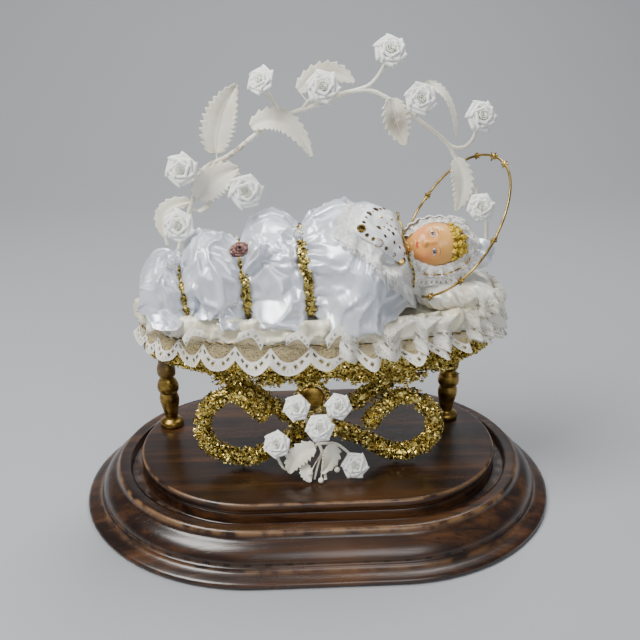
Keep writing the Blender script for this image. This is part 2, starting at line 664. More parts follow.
def laceFinish(name, kind, repeats, thread=(0.88, 0.86, 0.79), aged=(0.76, 0.70, 0.55)):
    finish = Finish(name, Roughness=0.82, Sheen_Weight=0.2)
    uv = finish.node("ShaderNodeTexCoord", output="UV")
    u, v, _ = finish.axes(uv)
    phase = (u * repeats).math("FRACT") * 2 - 1
    aside = abs(phase)
    if kind == "scallop":  # crescents with eyelets over fine net
        hem = 1.0 - (aside ** 2.2) * 0.42
        depth = hem - v
        crescent = finish.fade(depth, 0.44, 0.41)
        line = finish.near(depth, 0.22, 0.155)
        beads = finish.fade(abs((aside * 3.6 + depth * 2.2).math("FRACT") - 0.5), 0.25, 0.33, 1.0, 0.0)
        eyelets = line * beads * finish.fade(aside, 0.94, 0.9) * finish.fade(aside, 0.06, 0.1)
        rib = finish.near(depth, 0.045, 0.03) + finish.near(depth, 0.45, 0.03)
    elif kind == "loops":  # small looped edge on a fine ground
        around = (phase * phase * 0.8 + ((v - 0.80) / 0.20) ** 2.0).math("SQRT")
        ring = finish.near(around, 0.78, 0.30)
        crescent = (finish.near(v, 0.52, 0.09) + finish.near(v, 0.1, 0.12) + ring).math("MINIMUM", 1.0)
        eyelets = finish.fade(around, 0.42, 0.34) * finish.fade(v, 0.62, 0.66)
        rib = ring + finish.near(v, 0.52, 0.05)
    else:  # flowers over net, with a corded edge
        petals = finish.cells(1.0, vector=finish.stretched(repeats * 1.5, 3.2, 1, uv))
        tight = finish.stretched(repeats * 4.5, 9.5, 1, uv)
        swirl = finish.cells(1.0, vector=tight, feature="DISTANCE_TO_EDGE")
        flower = finish.fade(petals, 0.40, 0.30) * finish.fade(swirl, 0.02, 0.07, 0.35, 1.0)
        hem = 1.0 - (aside ** 1.6) * 0.22
        cover = flower + finish.near(hem - v, 0.06, 0.11) + finish.near(v, 0.0, 0.06)
        crescent = cover.math("MINIMUM", 1.0)
        beads = finish.fade(abs((aside * 3.5).math("FRACT") - 0.5), 0.24, 0.32, 1.0, 0.0)
        eyelets = finish.near(hem - v, 0.2, 0.05) * beads
        rib = flower * 0.5 + finish.near(hem - v, 0.05, 0.06)
    net = finish.cells(1500, feature="DISTANCE_TO_EDGE")
    threads = finish.fade(net, 0.13, 0.20, 1.0, 0.0)
    fibres = finish.cloud(1900, 2)
    alpha = (crescent + threads * 0.85).math("MINIMUM", 1.0) * (1.0 - eyelets)
    old = finish.fade(finish.cloud(48, 4), 0.42, 0.7)
    colour = finish.blend(old * 0.75, thread, aged)
    if kind == "scallop":
        colour = finish.blend((1.0 - crescent) * 0.85, colour, (0.46, 0.35, 0.15))
    colour = finish.blend(finish.fade(fibres, 0.35, 0.5, 0.22, 0.0), colour, (0.42, 0.36, 0.26))
    finish.feed(Base_Color=colour, Alpha=alpha)
    finish.bump(rib * 0.7 + fibres * 0.5 + crescent * 0.3, 0.3 * mm, 0.7)
    return finish


def makeMattress():
    c = cradle

    def side(u, v):
        stretch = ((0.0, 98.5, 1.6), (0.1, 99.5, 0.2), (0.35, 103.0, -0.9), (0.55, 107.2, -0.9),
                   (0.7, 110.8, 0.3), (0.82, 112.2, 2.6), (0.92, 111.4, 5.2), (1.0, 108.2, 9.0))
        for low, high in zip(stretch, stretch[1:]):
            if v <= high[0]:
                break
        t = (v - low[0]) / (high[0] - low[0])
        z, inset = mix(low[1], high[1], t), mix(low[2], high[2], t)
        angle = 2 * pi * u
        arc = Vector((cos(angle) * 90, sin(angle) * 45, 0))
        sway = noise.noise(arc / 12 + Vector((0, 0, v * 1.5))) * 6
        fold = noise.noise((arc + Vector((sway, 0, v * 9))) / 7 + Vector((3, 1, 4)))
        crease = noise.noise((arc + Vector((sway, sway, v * 14))) / 5 + Vector((1, 8, 2)))
        amount = sin(pi * min(1.0, 0.1 + v * 0.8))
        rolled = smooth(crease, -0.06, 0.06) + 0.6 * exp(-((crease - 0.09) / 0.06) ** 2)
        out = amount * (3.0 * fold + 2.0 * rolled - 1.2)
        place = ovalSpot(u, c["padLength"] - inset + 0.6, c["padDepth"] - inset + 0.6, z)
        normal = Vector((place.x / c["padLength"] ** 1.2, place.y / c["padDepth"] ** 1.2, 0)).normalized()
        lift = Vector((0, 0, out * 0.9 * smooth(v, 0.45, 0.7) * (1 - smooth(v, 0.85, 1.0))))
        return place + normal * out + lift

    bm = bmesh.new()
    addSheet(bm, 420, 22, side, around=True)
    capEnds(bm)
    finish = satinFinish("ivorySatin", (0.88, 0.84, 0.70), (0.74, 0.69, 0.52), 0.42, (0.60, 0.51, 0.32), 0.15)
    piece = newPiece("mattressStrip", bm, finish, ["mattress"])
    print("mattress made")


valance = dict(scallops=31, columns=16, rows=12, top=101.3, drop=15.5, lift=5.0, flare=2.2, gap=0.55)


def valanceSpot(u, v):
    c, w = cradle, valance
    phase = abs(((u * w["scallops"]) % 1.0) * 2 - 1)
    hem = 1.0 - 0.42 * phase ** 2.2
    side = ovalSpot(u, c["length"], c["depth"], 0)
    short = 1.0 - 0.30 * smooth(side.x, -8, 14) * smooth(-side.y, 5, 20)
    down = v * w["drop"] * short * (1.0 + 0.08 * ragged(u * 40, 0, 1.0, 5.0))
    ruffle = 1.0 + 0.9 * max(0.0, cos(2 * pi * u)) ** 2
    full = smooth(side.x, -4, 18) * smooth(-side.y, 2, 14)
    beat = 2 * pi * (u * 40 + 0.5 * noise.noise(Vector((u * 31, 4, 8))))
    gathers = 1.2 * sin(2 * pi * (u * w["scallops"] * 0.5 + 0.2))
    wave = ruffle * v * (gathers + 2.6 * ragged(u * 62, v * 0.7, 1.0, 3.0))
    wave += full * v * (3.4 * sin(beat) + 1.2)
    picot = 0.18 * abs(sin(u * w["scallops"] * 9 * pi)) * v ** 6
    z = w["top"] - down * hem - picot - 1.6 * full * v * sin(beat)
    out = w["gap"] + w["flare"] * v ** 1.3 + wave
    place = ovalSpot(u, c["length"] + out, c["depth"] + out, z)
    return place + Vector((0, 0, v * endLift(u, w["lift"])))


def makeValance():
    w = valance
    bm = bmesh.new()
    addSheet(bm, w["scallops"] * w["columns"], w["rows"], valanceSpot, around=True)
    finish = laceFinish("scallopedLace", "scallop", w["scallops"])
    piece = newPiece("laceValance", bm, finish, ["lace_valance"])
    declareSheet(piece, 450)

    seam = []
    for k in range(400):
        z = cradle["seam"] + 0.35 * sin(k * 1.1) + 0.3 * ragged(k * 0.3, 0, 1.0)
        seam.append(ovalSpot(k / 400, cradle["length"] + 0.9, cradle["depth"] + 0.9, z) * mm)
    strands = (("seamGold", 0.30, 0.0, (0.45, 0.32, 0.10)), ("seamBlack", 0.26, 0.5, (0.012, 0.012, 0.016)))
    for name, radius, phase, colour in strands:
        bm = bmesh.new()
        addTube(bm, twistPath(seam + seam[:1], 0.36, 96, phase), radius, 6)
        finish = Finish(name + "Thread", Roughness=0.45)
        fibre = finish.cloud(2400, 2)
        finish.feed(Base_Color=finish.blend(fibre, [0.5 * part for part in colour], colour))
        finish.bump(fibre, 0.1 * mm, 0.6)
        newPiece(name, bm, finish)

    patches = (  # x, y, z, size, tilt of the scallops turned up over the strip
        (-34.5, -35.4, 107.2, 10.5, 20), (8.0, -37.0, 107.6, 11.0, -14), (-12.0, -36.6, 106.4, 9.0, 8),
        (-62.0, -30.0, 106.8, 9.0, -24), (-80.0, -19.0, 106.0, 9.0, 10),
    )
    for number, (x, y, z, size, tilt) in enumerate(patches, 1):
        bm = bmesh.new()

        def turnedUp(u, v):
            hem = 1.0 - 0.40 * abs(2 * u - 1) ** 1.35
            wave = 0.5 * sin(u * 5 + number)
            y = -1.0 - wave - 1.1 * sin(v * pi)
            return Vector(((u - 0.5) * size * 1.25, y, (v * hem - 0.5) * size))

        addSheet(bm, 18, 10, turnedUp)
        turn = Matrix.Rotation(radians(tilt), 4, "Y")
        place = Matrix.Translation(Vector((x, y, z - 1.5)) * mm)
        bmesh.ops.transform(bm, matrix=place @ turn, verts=bm.verts)
        lace = laceFinish(f"turnedLace.{number}", "scallop", 1)
        piece = newPiece(f"turnedScallop.{number}", bm, lace)
        declareSheet(piece, size * 1.25)
    print("valance made")


# Swaddled body
puffy = dict(
    feet=-90.5, neck=38.0, floor=108.3, tieLean=5.0, neckLean=12.0, leanFrom=5.0, footLength=15.0,
    folds=6, foldDepth=1.1, fullness=0.55, upperBend=0.86, lowerBend=0.6, lobe=(16.5, 34.0), lap=3.0, rim=2.6,
    sway=15.0, slant=(12, 20, -8, 34), pleats=19, seed=2.6,
    ends=(-69.0, -39.5, -9.0, 38.0), tops=(140.0, 150.5, 156.5, 160.0), fronts=(23.0, 26.0, 29.0, 33.0),
    tieTops=(122.0, 130.0, 137.5, 145.0, 151.0), tieFronts=(9.0, 16.5, 19.5, 22.5, 16.0),
    columns=150, around=140, grow=-0.05, pressure=0.8, frames=9, scale=10.0, most=1.2, edge=-35.6,
)


def bodyAt(x):
    p = puffy
    start = p["feet"]
    for k, end in enumerate(p["ends"]):
        if x <= end or k == 3:
            t = clamp((x - start) / (end - start))
            swell = sin(pi * t) ** p["fullness"] if 0 < t < 1 else 0.0
            low = mix(p["tieTops"][k], p["tieTops"][k + 1], t)
            thin = mix(p["tieFronts"][k], p["tieFronts"][k + 1], t)
            return mix(low, p["tops"][k], swell), mix(thin, p["fronts"][k], swell), swell
        start = end


def bodyPoint(x, turn, out=0.0, folded=False):
    p = puffy
    top, front, swell = bodyAt(x)
    a = radians(turn)
    middle = (top + p["floor"]) / 2
    fold = p["foldDepth"] * swell * sin(p["folds"] * a + x * 0.11) if folded else 0.0
    square = p["lowerBend"] if cos(a) < 0 else p["upperBend"]
    bend = lambda v: copysign(abs(v) ** square, v)
    most = mix(p["tieLean"], p["neckLean"], smooth(x, p["leanFrom"], p["neck"]))
    lean = most * smooth(x, p["feet"], p["feet"] + p["footLength"]) * (1 - cos(a)) / 2
    y = -(front + fold + out) * bend(sin(a))
    z = middle + ((top - p["floor"]) / 2 + fold * 0.7 + out) * bend(cos(a))
    return Vector((x + lean, y, max(z, p["floor"])))


def swollen(bm, pinned, grow, pressure, frames):
    scale = puffy["scale"]
    bmesh.ops.scale(bm, vec=(scale,) * 3, verts=bm.verts)
    mesh = newMesh("swelling", bm)
    cloth = newObject("swelling", mesh)
    group = cloth.vertex_groups.new(name="held")
    for index, weight in pinned.items():
        group.add([index], weight, "REPLACE")
    settings = cloth.modifiers.new("Cloth", "CLOTH").settings
    settings.quality = 4
    settings.mass = 0.25
    settings.tension_stiffness = settings.compression_stiffness = 12
    settings.shear_stiffness = 6
    settings.bending_stiffness = 2
    settings.shrink_min = grow
    settings.use_pressure = True
    settings.uniform_pressure_force = pressure
    settings.vertex_group_mass = "held"
    settings.effector_weights.gravity = 0
    cloth.modifiers["Cloth"].collision_settings.use_collision = False
    scene = bpy.context.scene
    scene.frame_start = 1
    scene.frame_end = frames
    cloth.modifiers["Cloth"].point_cache.frame_end = frames
    for number in range(1, frames + 1):
        scene.frame_set(number)
    settled = bpy.data.meshes.new_from_object(cloth.evaluated_get(bpy.context.evaluated_depsgraph_get()))
    places = [vert.co / scale for vert in settled.vertices]
    bpy.data.meshes.remove(settled)
    bpy.data.objects.remove(cloth)
    bpy.data.meshes.remove(mesh)
    scene.frame_set(1)
    return places


def puffUp(bm, pinned, grow, pressure, frames, most):  # no point moves further than most
    before = [vert.co.copy() for vert in bm.verts]
    after = swollen(bm.copy(), pinned, grow, pressure, frames)
    for vert, old, new in zip(bm.verts, before, after):
        move = new - old
        if move.length > most * mm:
            move *= most * mm / move.length
        vert.co = old + move


def bodyStations():
    p = puffy
    stations = []
    start = p["feet"]
    for end in p["ends"]:
        steps = round(p["columns"] * (end - start) / (p["neck"] - p["feet"]))
        for step in range(steps):
            share = (1 - cos(pi * step / steps)) * 0.3 + 0.4 * step / steps
            stations.append(mix(start, end, share))
        start = end
    return stations + [p["neck"]]


def satinFold(x, turn, swell):  # lobes that overlap with a rolled rim, and pleats at the ties
    p = puffy
    place = bodyPoint(x, turn)
    puff = sum(x > end for end in p["ends"])
    slant = radians(p["slant"][min(puff, 3)])
    along = place.x + noise.noise(place / 21 + Vector((5, puff * 3, 1))) * p["sway"]
    across = turn * 0.38 + noise.noise(place / 18 + Vector((9, 2, puff * 4))) * p["sway"]
    first = (along * cos(slant) + across * sin(slant)) / p["lobe"][0]
    other = (across * cos(slant) - along * sin(slant)) / p["lobe"][1]
    level = noise.noise(Vector((first, other, p["seed"] + puff * 5.3)))
    lap = p["lap"] * smooth(level, -0.06, 0.04) + p["rim"] * exp(-((level - 0.07) / 0.085) ** 2)
    second = noise.noise(Vector((first * 1.15 + 9, other * 1.1, p["seed"] + puff * 2.1)))
    lap += p["rim"] * 0.6 * exp(-((second - 0.1) / 0.08) ** 2)
    broad = 4.6 * level + 0.8 * second
    pleat = sin(radians(turn) * p["pleats"] + 5 * noise.noise(place / 14)) * (1 - swell) ** 0.7
    crest = exp(-((turn if turn < 180 else turn - 360) / 34) ** 2)
    calm = (1.0 - 0.75 * smooth(x, 14, 22) * smooth(place.z, 138, 148)) * (1.0 - 0.5 * crest)
    if puff == 0:
        calm *= 0.75
    return (lap + broad - p["lap"] * 0.9) * smooth(swell, 0.1, 0.75) * calm + 1.3 * pleat


def overEdge(place, turn):  # the last puff laps over the mattress's front edge
    reach = exp(-((place.x - 21) / 17.0) ** 2) * smooth(place.x, -8.5, 4.0)
    low = reach * exp(-((turn - 137) / 19) ** 2)
    side = reach * exp(-((turn - 102) / 27) ** 2)
    _, _, swell = bodyAt(place.x - 4)
    rest = 12.0 * smooth(swell, 0.1, 0.8) * exp(-((turn - 143) / 22) ** 2) * (1 - reach)
    moved = place + Vector((2.0 * low, -10.0 * low - 3.5 * side - rest, -4.0 * low - 0.12 * rest))
    if moved.y > puffy["edge"]:
        moved.z = max(moved.z, puffy["floor"])
    return moved


def makeSwaddling():
    p = puffy
    stations = bodyStations()
    held = {}

    def start(u, v):
        x = stations[round(u * (len(stations) - 1))]
        turn = 360 * v
        _, _, swell = bodyAt(x)
        return overEdge(bodyPoint(x, turn, satinFold(x, turn, swell)), turn)

    bm = bmesh.new()
    addSheet(bm, len(stations) - 1, p["around"], start, around=True)
    capEnds(bm)
    bm.verts.index_update()
    for vert in bm.verts:
        place = vert.co / mm
        x = place.x
        tie = min(abs(x - end) for end in (p["feet"], *p["ends"]))
        low = 1 - smooth(place.z, p["floor"] + 0.5, p["floor"] + 3.0) if place.y > -34 else 0.0
        lean = min(abs(x - end - 2.5) for end in p["ends"][:3])
        bib = smooth(x, 12, 20) * smooth(place.z, 133, 145)
        held[vert.index] = max(1.0 if lean < 3.6 and tie < 7 else 0.0, low, bib * 0.97,
                               1.0 if x > 34 else 0.0)
    puffUp(bm, held, p["grow"], p["pressure"], p["frames"], p["most"])
    for vert in bm.verts:
        if vert.co.y > p["edge"] * mm:
            vert.co.z = max(vert.co.z, p["floor"] * mm)
    finish = satinFinish("whiteSatin", (0.86, 0.88, 0.93), (0.68, 0.72, 0.80), 0.33, None, 0.5)
    piece = newPiece("swaddledBody", bm, finish, ["swaddling"])
    refine(piece)
    print("swaddling made")
    return piece


def makePillow():
    p = dict(x=69.5, y=-1.0, length=20.6, depth=21.2, low=108.6, high=121.6, floor=108.3, ceiling=122.4,
             grow=-0.16, pressure=0.8, frames=16, most=1.8)

    def start(u, v):
        a = 2 * pi * u
        rise = sin(pi * (v - 0.5))
        girth = max(0.02, cos(pi * (v - 0.5))) ** 0.42
        pull = 1.0 - 0.07 * cos(4 * a)
        crumple = 1.0 + 0.05 * ragged(cos(a) * 5 + v * 3, sin(a) * 5, 1.0, 9.0)
        x = p["x"] + p["length"] * girth * pull * crumple * cos(a)
        y = p["y"] + p["depth"] * girth * pull * crumple * sin(a)
        middle, half = (p["low"] + p["high"]) / 2, (p["high"] - p["low"]) / 2
        return Vector((x, y, middle + half * rise))

    bm = bmesh.new()
    addSheet(bm, 96, 30, start, around=True)
    capEnds(bm)
    bm.verts.index_update()
    held = {vert.index: 1.0 if vert.co.z < (p["low"] + 1.5) * mm else 0.0 for vert in bm.verts}
    puffUp(bm, held, p["grow"], p["pressure"], p["frames"], p["most"])
    for vert in bm.verts:
        vert.co.z = clamp(vert.co.z, p["floor"] * mm, p["ceiling"] * mm)
    finish = satinFinish("pillowSatin", (0.90, 0.88, 0.81), (0.78, 0.75, 0.65), 0.34, (0.66, 0.60, 0.45),
                         0.25)
    piece = newPiece("satinPillow", bm, finish, ["pillow"])
    refine(piece)

    def frill(u, v):
        turn = mix(-70, 42, u) / 360 % 1.0
        wave = (0.5 + v) * (1.7 * sin(2 * pi * 6 * u) + 1.3 * ragged(u * 12, v, 1.0, 6.0))
        out = 0.4 + 3.4 * sin(pi * min(1.0, v * 0.75)) + wave
        a = 2 * pi * turn
        z = mix(119.5, 108.6, v) + 1.1 * cos(2 * pi * 6 * u) * v
        reach = 1.0 + out / 22
        return Vector((p["x"] + p["length"] * reach * copysign(abs(cos(a)) ** 0.93, cos(a)),
                       p["y"] + p["depth"] * reach * copysign(abs(sin(a)) ** 0.93, sin(a)), z))

    bm = bmesh.new()
    addSheet(bm, 150, 14, frill)
    piece = newPiece("pillowLace", bm, laceFinish("floweredLace", "flower", 6), ["pillow_lace"])
    declareSheet(piece, 100)

    edge = 0.42  # the share of the ruffle's depth that lies on the mattress

    def skirt(u, v):  # deep ruffles that fall from the pillow over the mattress's edge
        turn = mix(-86, 38, u) / 360 % 1.0
        beat = 2 * pi * (11 * u + 0.35 * noise.noise(Vector((u * 9, 2, 5))))
        wave = (0.55 + v) * (3.2 * sin(beat) + 1.2 * noise.noise(Vector((u * 17, v, 7))))
        out, a = 1.6 + 1.6 * v + wave, 2 * pi * turn
        spot = ovalSpot(turn, cradle["length"] + out, cradle["depth"] + out, 0)
        along, across = p["length"] * 0.98 * cos(a), p["depth"] * 1.1 * sin(a)
        inner = Vector((p["x"] + along, p["y"] + across, 0))
        place = inner.lerp(spot, mix(0.7, 1.0, smooth(v, 0.0, edge))) if v < edge else spot
        sag = 2.6 * noise.noise(Vector((u * 15, 1, 6))) - 0.8
        hang = 94.0 + 1.6 * cos(beat) + 2.0 * noise.noise(Vector((u * 7, 4, 2)))
        rim = 110.2 + sag
        height = mix(111.5, rim, v / edge) if v < edge else mix(rim, hang, (v - edge) / (1 - edge))
        height += 3.6 * sin(beat + 2.7) * (1 - v) * smooth(v, 0.1, 0.4) + v * endLift(turn, 3.5)
        return Vector((place.x, place.y, height))

    bm = bmesh.new()
    addSheet(bm, 260, 22, skirt)
    piece = newPiece("ruffledLace", bm, laceFinish("ruffledLace", "flower", 11))
    declareSheet(piece, 150)
    print("pillow made")


# Sequin bands and stones
bands = dict(reach=126, width=2.6, seat=2.9, sequin=1.2, rows=3, rowGap=1.9, spacing=1.4, axis=125,
             looseEnds=70)


def goldThreadFinish(name, bright=(0.56, 0.43, 0.13), dull=(0.11, 0.08, 0.02), roughness=0.3):
    finish = Finish(name, Metallic=1.0)
    fibre = finish.cloud(1100, 3)
    cell = finish.node("ShaderNodeSeparateColor", None, {0: finish.cells(800, "Color")})
    tone = fibre * 0.5 + cell * 0.6
    colour = finish.ramp(tone, (0.3, dull), (0.7, bright))
    finish.feed(Base_Color=colour, Roughness=cell * 0.2 + roughness - 0.08)
    finish.bump(fibre, 0.12 * mm, 0.5)
    return finish


def sequinTemplate():
    bm = bmesh.new()
    bmesh.ops.create_circle(bm, cap_ends=True, segments=9, radius=bands["sequin"] * mm)
    bmesh.ops.poke(bm, faces=bm.faces[:], offset=0.34 * mm)
    return newMesh("sequin", bm)


def makeBands():
    rng = random.Random(31)
    sequin = sequinTemplate()
    finish = goldThreadFinish("sequinGold", (0.62, 0.49, 0.15), (0.11, 0.08, 0.018), 0.28)
    for number, end in enumerate(puffy["ends"][:3], 1):
        bm = bmesh.new()
        spot = lambda turn, out, aside: bodyPoint(end, turn, out) + Vector((aside, 0, 0))

        def strip(u, v):
            turn = mix(-bands["reach"], bands["reach"], u)
            return spot(turn, bands["seat"] - 0.5 - 0.5 * (2 * v - 1) ** 2,
                        mix(-bands["width"], bands["width"], v))

        addSheet(bm, 60, 4, strip)
        bmesh.ops.solidify(bm, geom=bm.faces[:], thickness=1.2 * mm)
        turn = -bands["reach"]
        while turn < bands["reach"]:
            here, ahead = spot(turn, bands["seat"], 0), spot(turn + 1, bands["seat"], 0)
            along = ahead - here
            outward = Vector((1, 0, 0)).cross(along).normalized()
            if outward.dot(here - Vector((here.x, 0, bands["axis"]))) < 0:
                outward = -outward
            for row in range(bands["rows"]):
                aside = (row - 1) * bands["rowGap"] + rng.gauss(0, 0.22)
                tilt = outward + scatter(rng, 0.28)
                place = spot(turn + rng.uniform(-0.6, 0.6), bands["seat"] + rng.uniform(0.1, 0.7), aside)
                sprinkle(bm, sequin, [turnedTo(tilt, place, rng.uniform(0, 6), rng.uniform(0.85, 1.1))])
            turn += bands["spacing"] / max(0.2, along.length)
        for _ in range(bands["looseEnds"]):  # loose ends of gold wire between the sequins
            place = spot(rng.uniform(-1, 1) * bands["reach"], bands["seat"] + rng.uniform(0.1, 0.8),
                         rng.gauss(0, 1.4))
            sprinkle(bm, crumbs[rng.randrange(3)], [turnedTo(scatter(rng, 1), place, 0, 0.7)])
        newPiece(f"sequinBand.{number}", bm, finish, [f"band_{number}"], smooth=False)
    for number, (x, turn, length) in enumerate(((-67.6, 112, 7.5), (-38.0, 112, 7.0)), 1):  # dark thread ends
        path = [bodyPoint(x + 0.4 * k, turn + 2.2 * k, 1.6 + 0.5 * sin(k * 1.3), True) * mm
                for k in range(int(length))]
        bm = bmesh.new()
        addTube(bm, path, 0.32, 6)
        thread = Finish(f"darkThread.{number}", Roughness=0.7)
        thread.feed(Base_Color=thread.blend(thread.cloud(1500, 2), (0.012, 0.01, 0.009), (0.06, 0.05, 0.045)))
        newPiece(f"threadEnd.{number}", bm, thread)
    print("bands made")


def crystalFinish(name, film):
    finish = Finish(name, Roughness=0.04, IOR=1.55, Transmission_Weight=0.75, Thin_Film_Thickness=film,
                    Thin_Film_IOR=1.5, Coat_Weight=0.6)
    finish.feed(Base_Color=finish.blend(0.12, (0.93, 0.95, 0.98), finish.cells(420, "Color")))
    return finish


def makeStones():
    bm = bmesh.new()  # a faceted clear bead
    centre = Vector((-71.6, -16.5, 139.2))
    bmesh.ops.create_uvsphere(bm, u_segments=12, v_segments=8, radius=4.5 * mm)
    bmesh.ops.bevel(bm, geom=bm.edges[:], offset=0.22 * mm, affect="EDGES", segments=1, profile=0.5)
    bmesh.ops.transform(bm, matrix=turnedTo((0.5, -0.6, 0.7), centre, 0.4), verts=bm.verts)
    newPiece("clearBead", bm, crystalFinish("iridescentCrystal", 430.0), ["gem_1"], smooth=False)

    bm = bmesh.new()  # a rosette of dusty pink satin ribbon
    centre = Vector((-39.0, -19.5, 144.5))
    for layer, (count, radius, height) in enumerate(((6, 4.6, 0.0), (5, 3.1, 0.9), (3, 1.6, 1.7))):
        for k in range(count):
            a = 2 * pi * (k + 0.4 * layer) / count

            def petal(u, v):
                aside, up = (u - 0.5) * 2, v
                r = radius * (0.25 + 0.75 * up ** 0.8)
                b = a + aside * 1.25 * pi / count
                curl = 1.5 * sin(up * 2.6) + 0.35 * aside
                rise = height + curl - 0.5 * aside * aside
                return Vector((r * cos(b) * 1.12, r * sin(b) * 0.78, rise))

            addSheet(bm, 6, 5, petal)
    bmesh.ops.transform(bm, matrix=turnedTo((0.15, -0.75, 0.65), centre, 0.3), verts=bm.verts)
    rosette = Finish("dustyRoseSatin", Roughness=0.3, Coat_Weight=0.3)
    tone = rosette.cloud(420, 3)
    rosette.feed(Base_Color=rosette.ramp(tone, (0.36, (0.055, 0.018, 0.014)), (0.52, (0.21, 0.085, 0.066)),
                                         (0.68, (0.46, 0.26, 0.21))))
    rosette.bump(rosette.cloud(900, 2), 0.12 * mm, 0.5)
    piece = newPiece("pinkRosette", bm, rosette, ["gem_2"])
    addModifier(piece, "SOLIDIFY", thickness=0.25 * mm)

    bm = bmesh.new()  # a small cut crystal drop
    centre = Vector((-10.2, -20.6, 152.4))
    bmesh.ops.create_uvsphere(bm, u_segments=8, v_segments=5, radius=3.3 * mm)
    bmesh.ops.scale(bm, vec=(1.15, 0.9, 0.8), verts=bm.verts)
    bmesh.ops.transform(bm, matrix=turnedTo((0.3, -0.8, 0.6), centre, 0.2), verts=bm.verts)
    newPiece("crystalDrop", bm, crystalFinish("clearCrystal", 360.0), ["gem_3"], smooth=False)


# Bib
bib = dict(
    shield=((14.5, 45), (24, 4), (36.6, -2), (37.2, 84)),
    fringe=((9.0, 50), (18, -4), (37.4, -12), (37.6, 98)),
    large=((17.8, 43, "gold"), (26.0, 39, "dark"), (24.6, 57, "clear"), (34.2, 75, "gold"),
           (22.8, 22, "dark"), (27.0, 11, "dark")),
    small=((19.2, 36), (20.8, 29), (24.8, 16), (29.4, 8), (31.6, 5), (19.8, 49), (22.2, 53), (27.4, 62),
           (30.8, 68), (29.0, 36), (30.8, 40), (32.6, 44), (30.8, 28), (32.8, 31), (34.8, 35), (32.0, 54),
           (34.2, 60), (36.0, 67),
           (28.6, 22), (34.0, 20), (28.0, 49)),
)


def bibSpot(surface, x, turn, out):
    near = bodyPoint(x, turn) * mm
    far = bodyPoint(x, turn, 9) * mm
    way = (near - far).normalized()
    hit = surface.ray_cast(far, way)[0]
    place = hit if hit else near
    return (place - way * out * mm) / mm


def bibPatch(surface, corners, u, v, out):
    a, b, c, d = corners
    x, turn = ((a[n] * (1 - u) + b[n] * u) * (1 - v) + (d[n] * (1 - u) + c[n] * u) * v for n in range(2))
    return bibSpot(surface, x, turn, out)


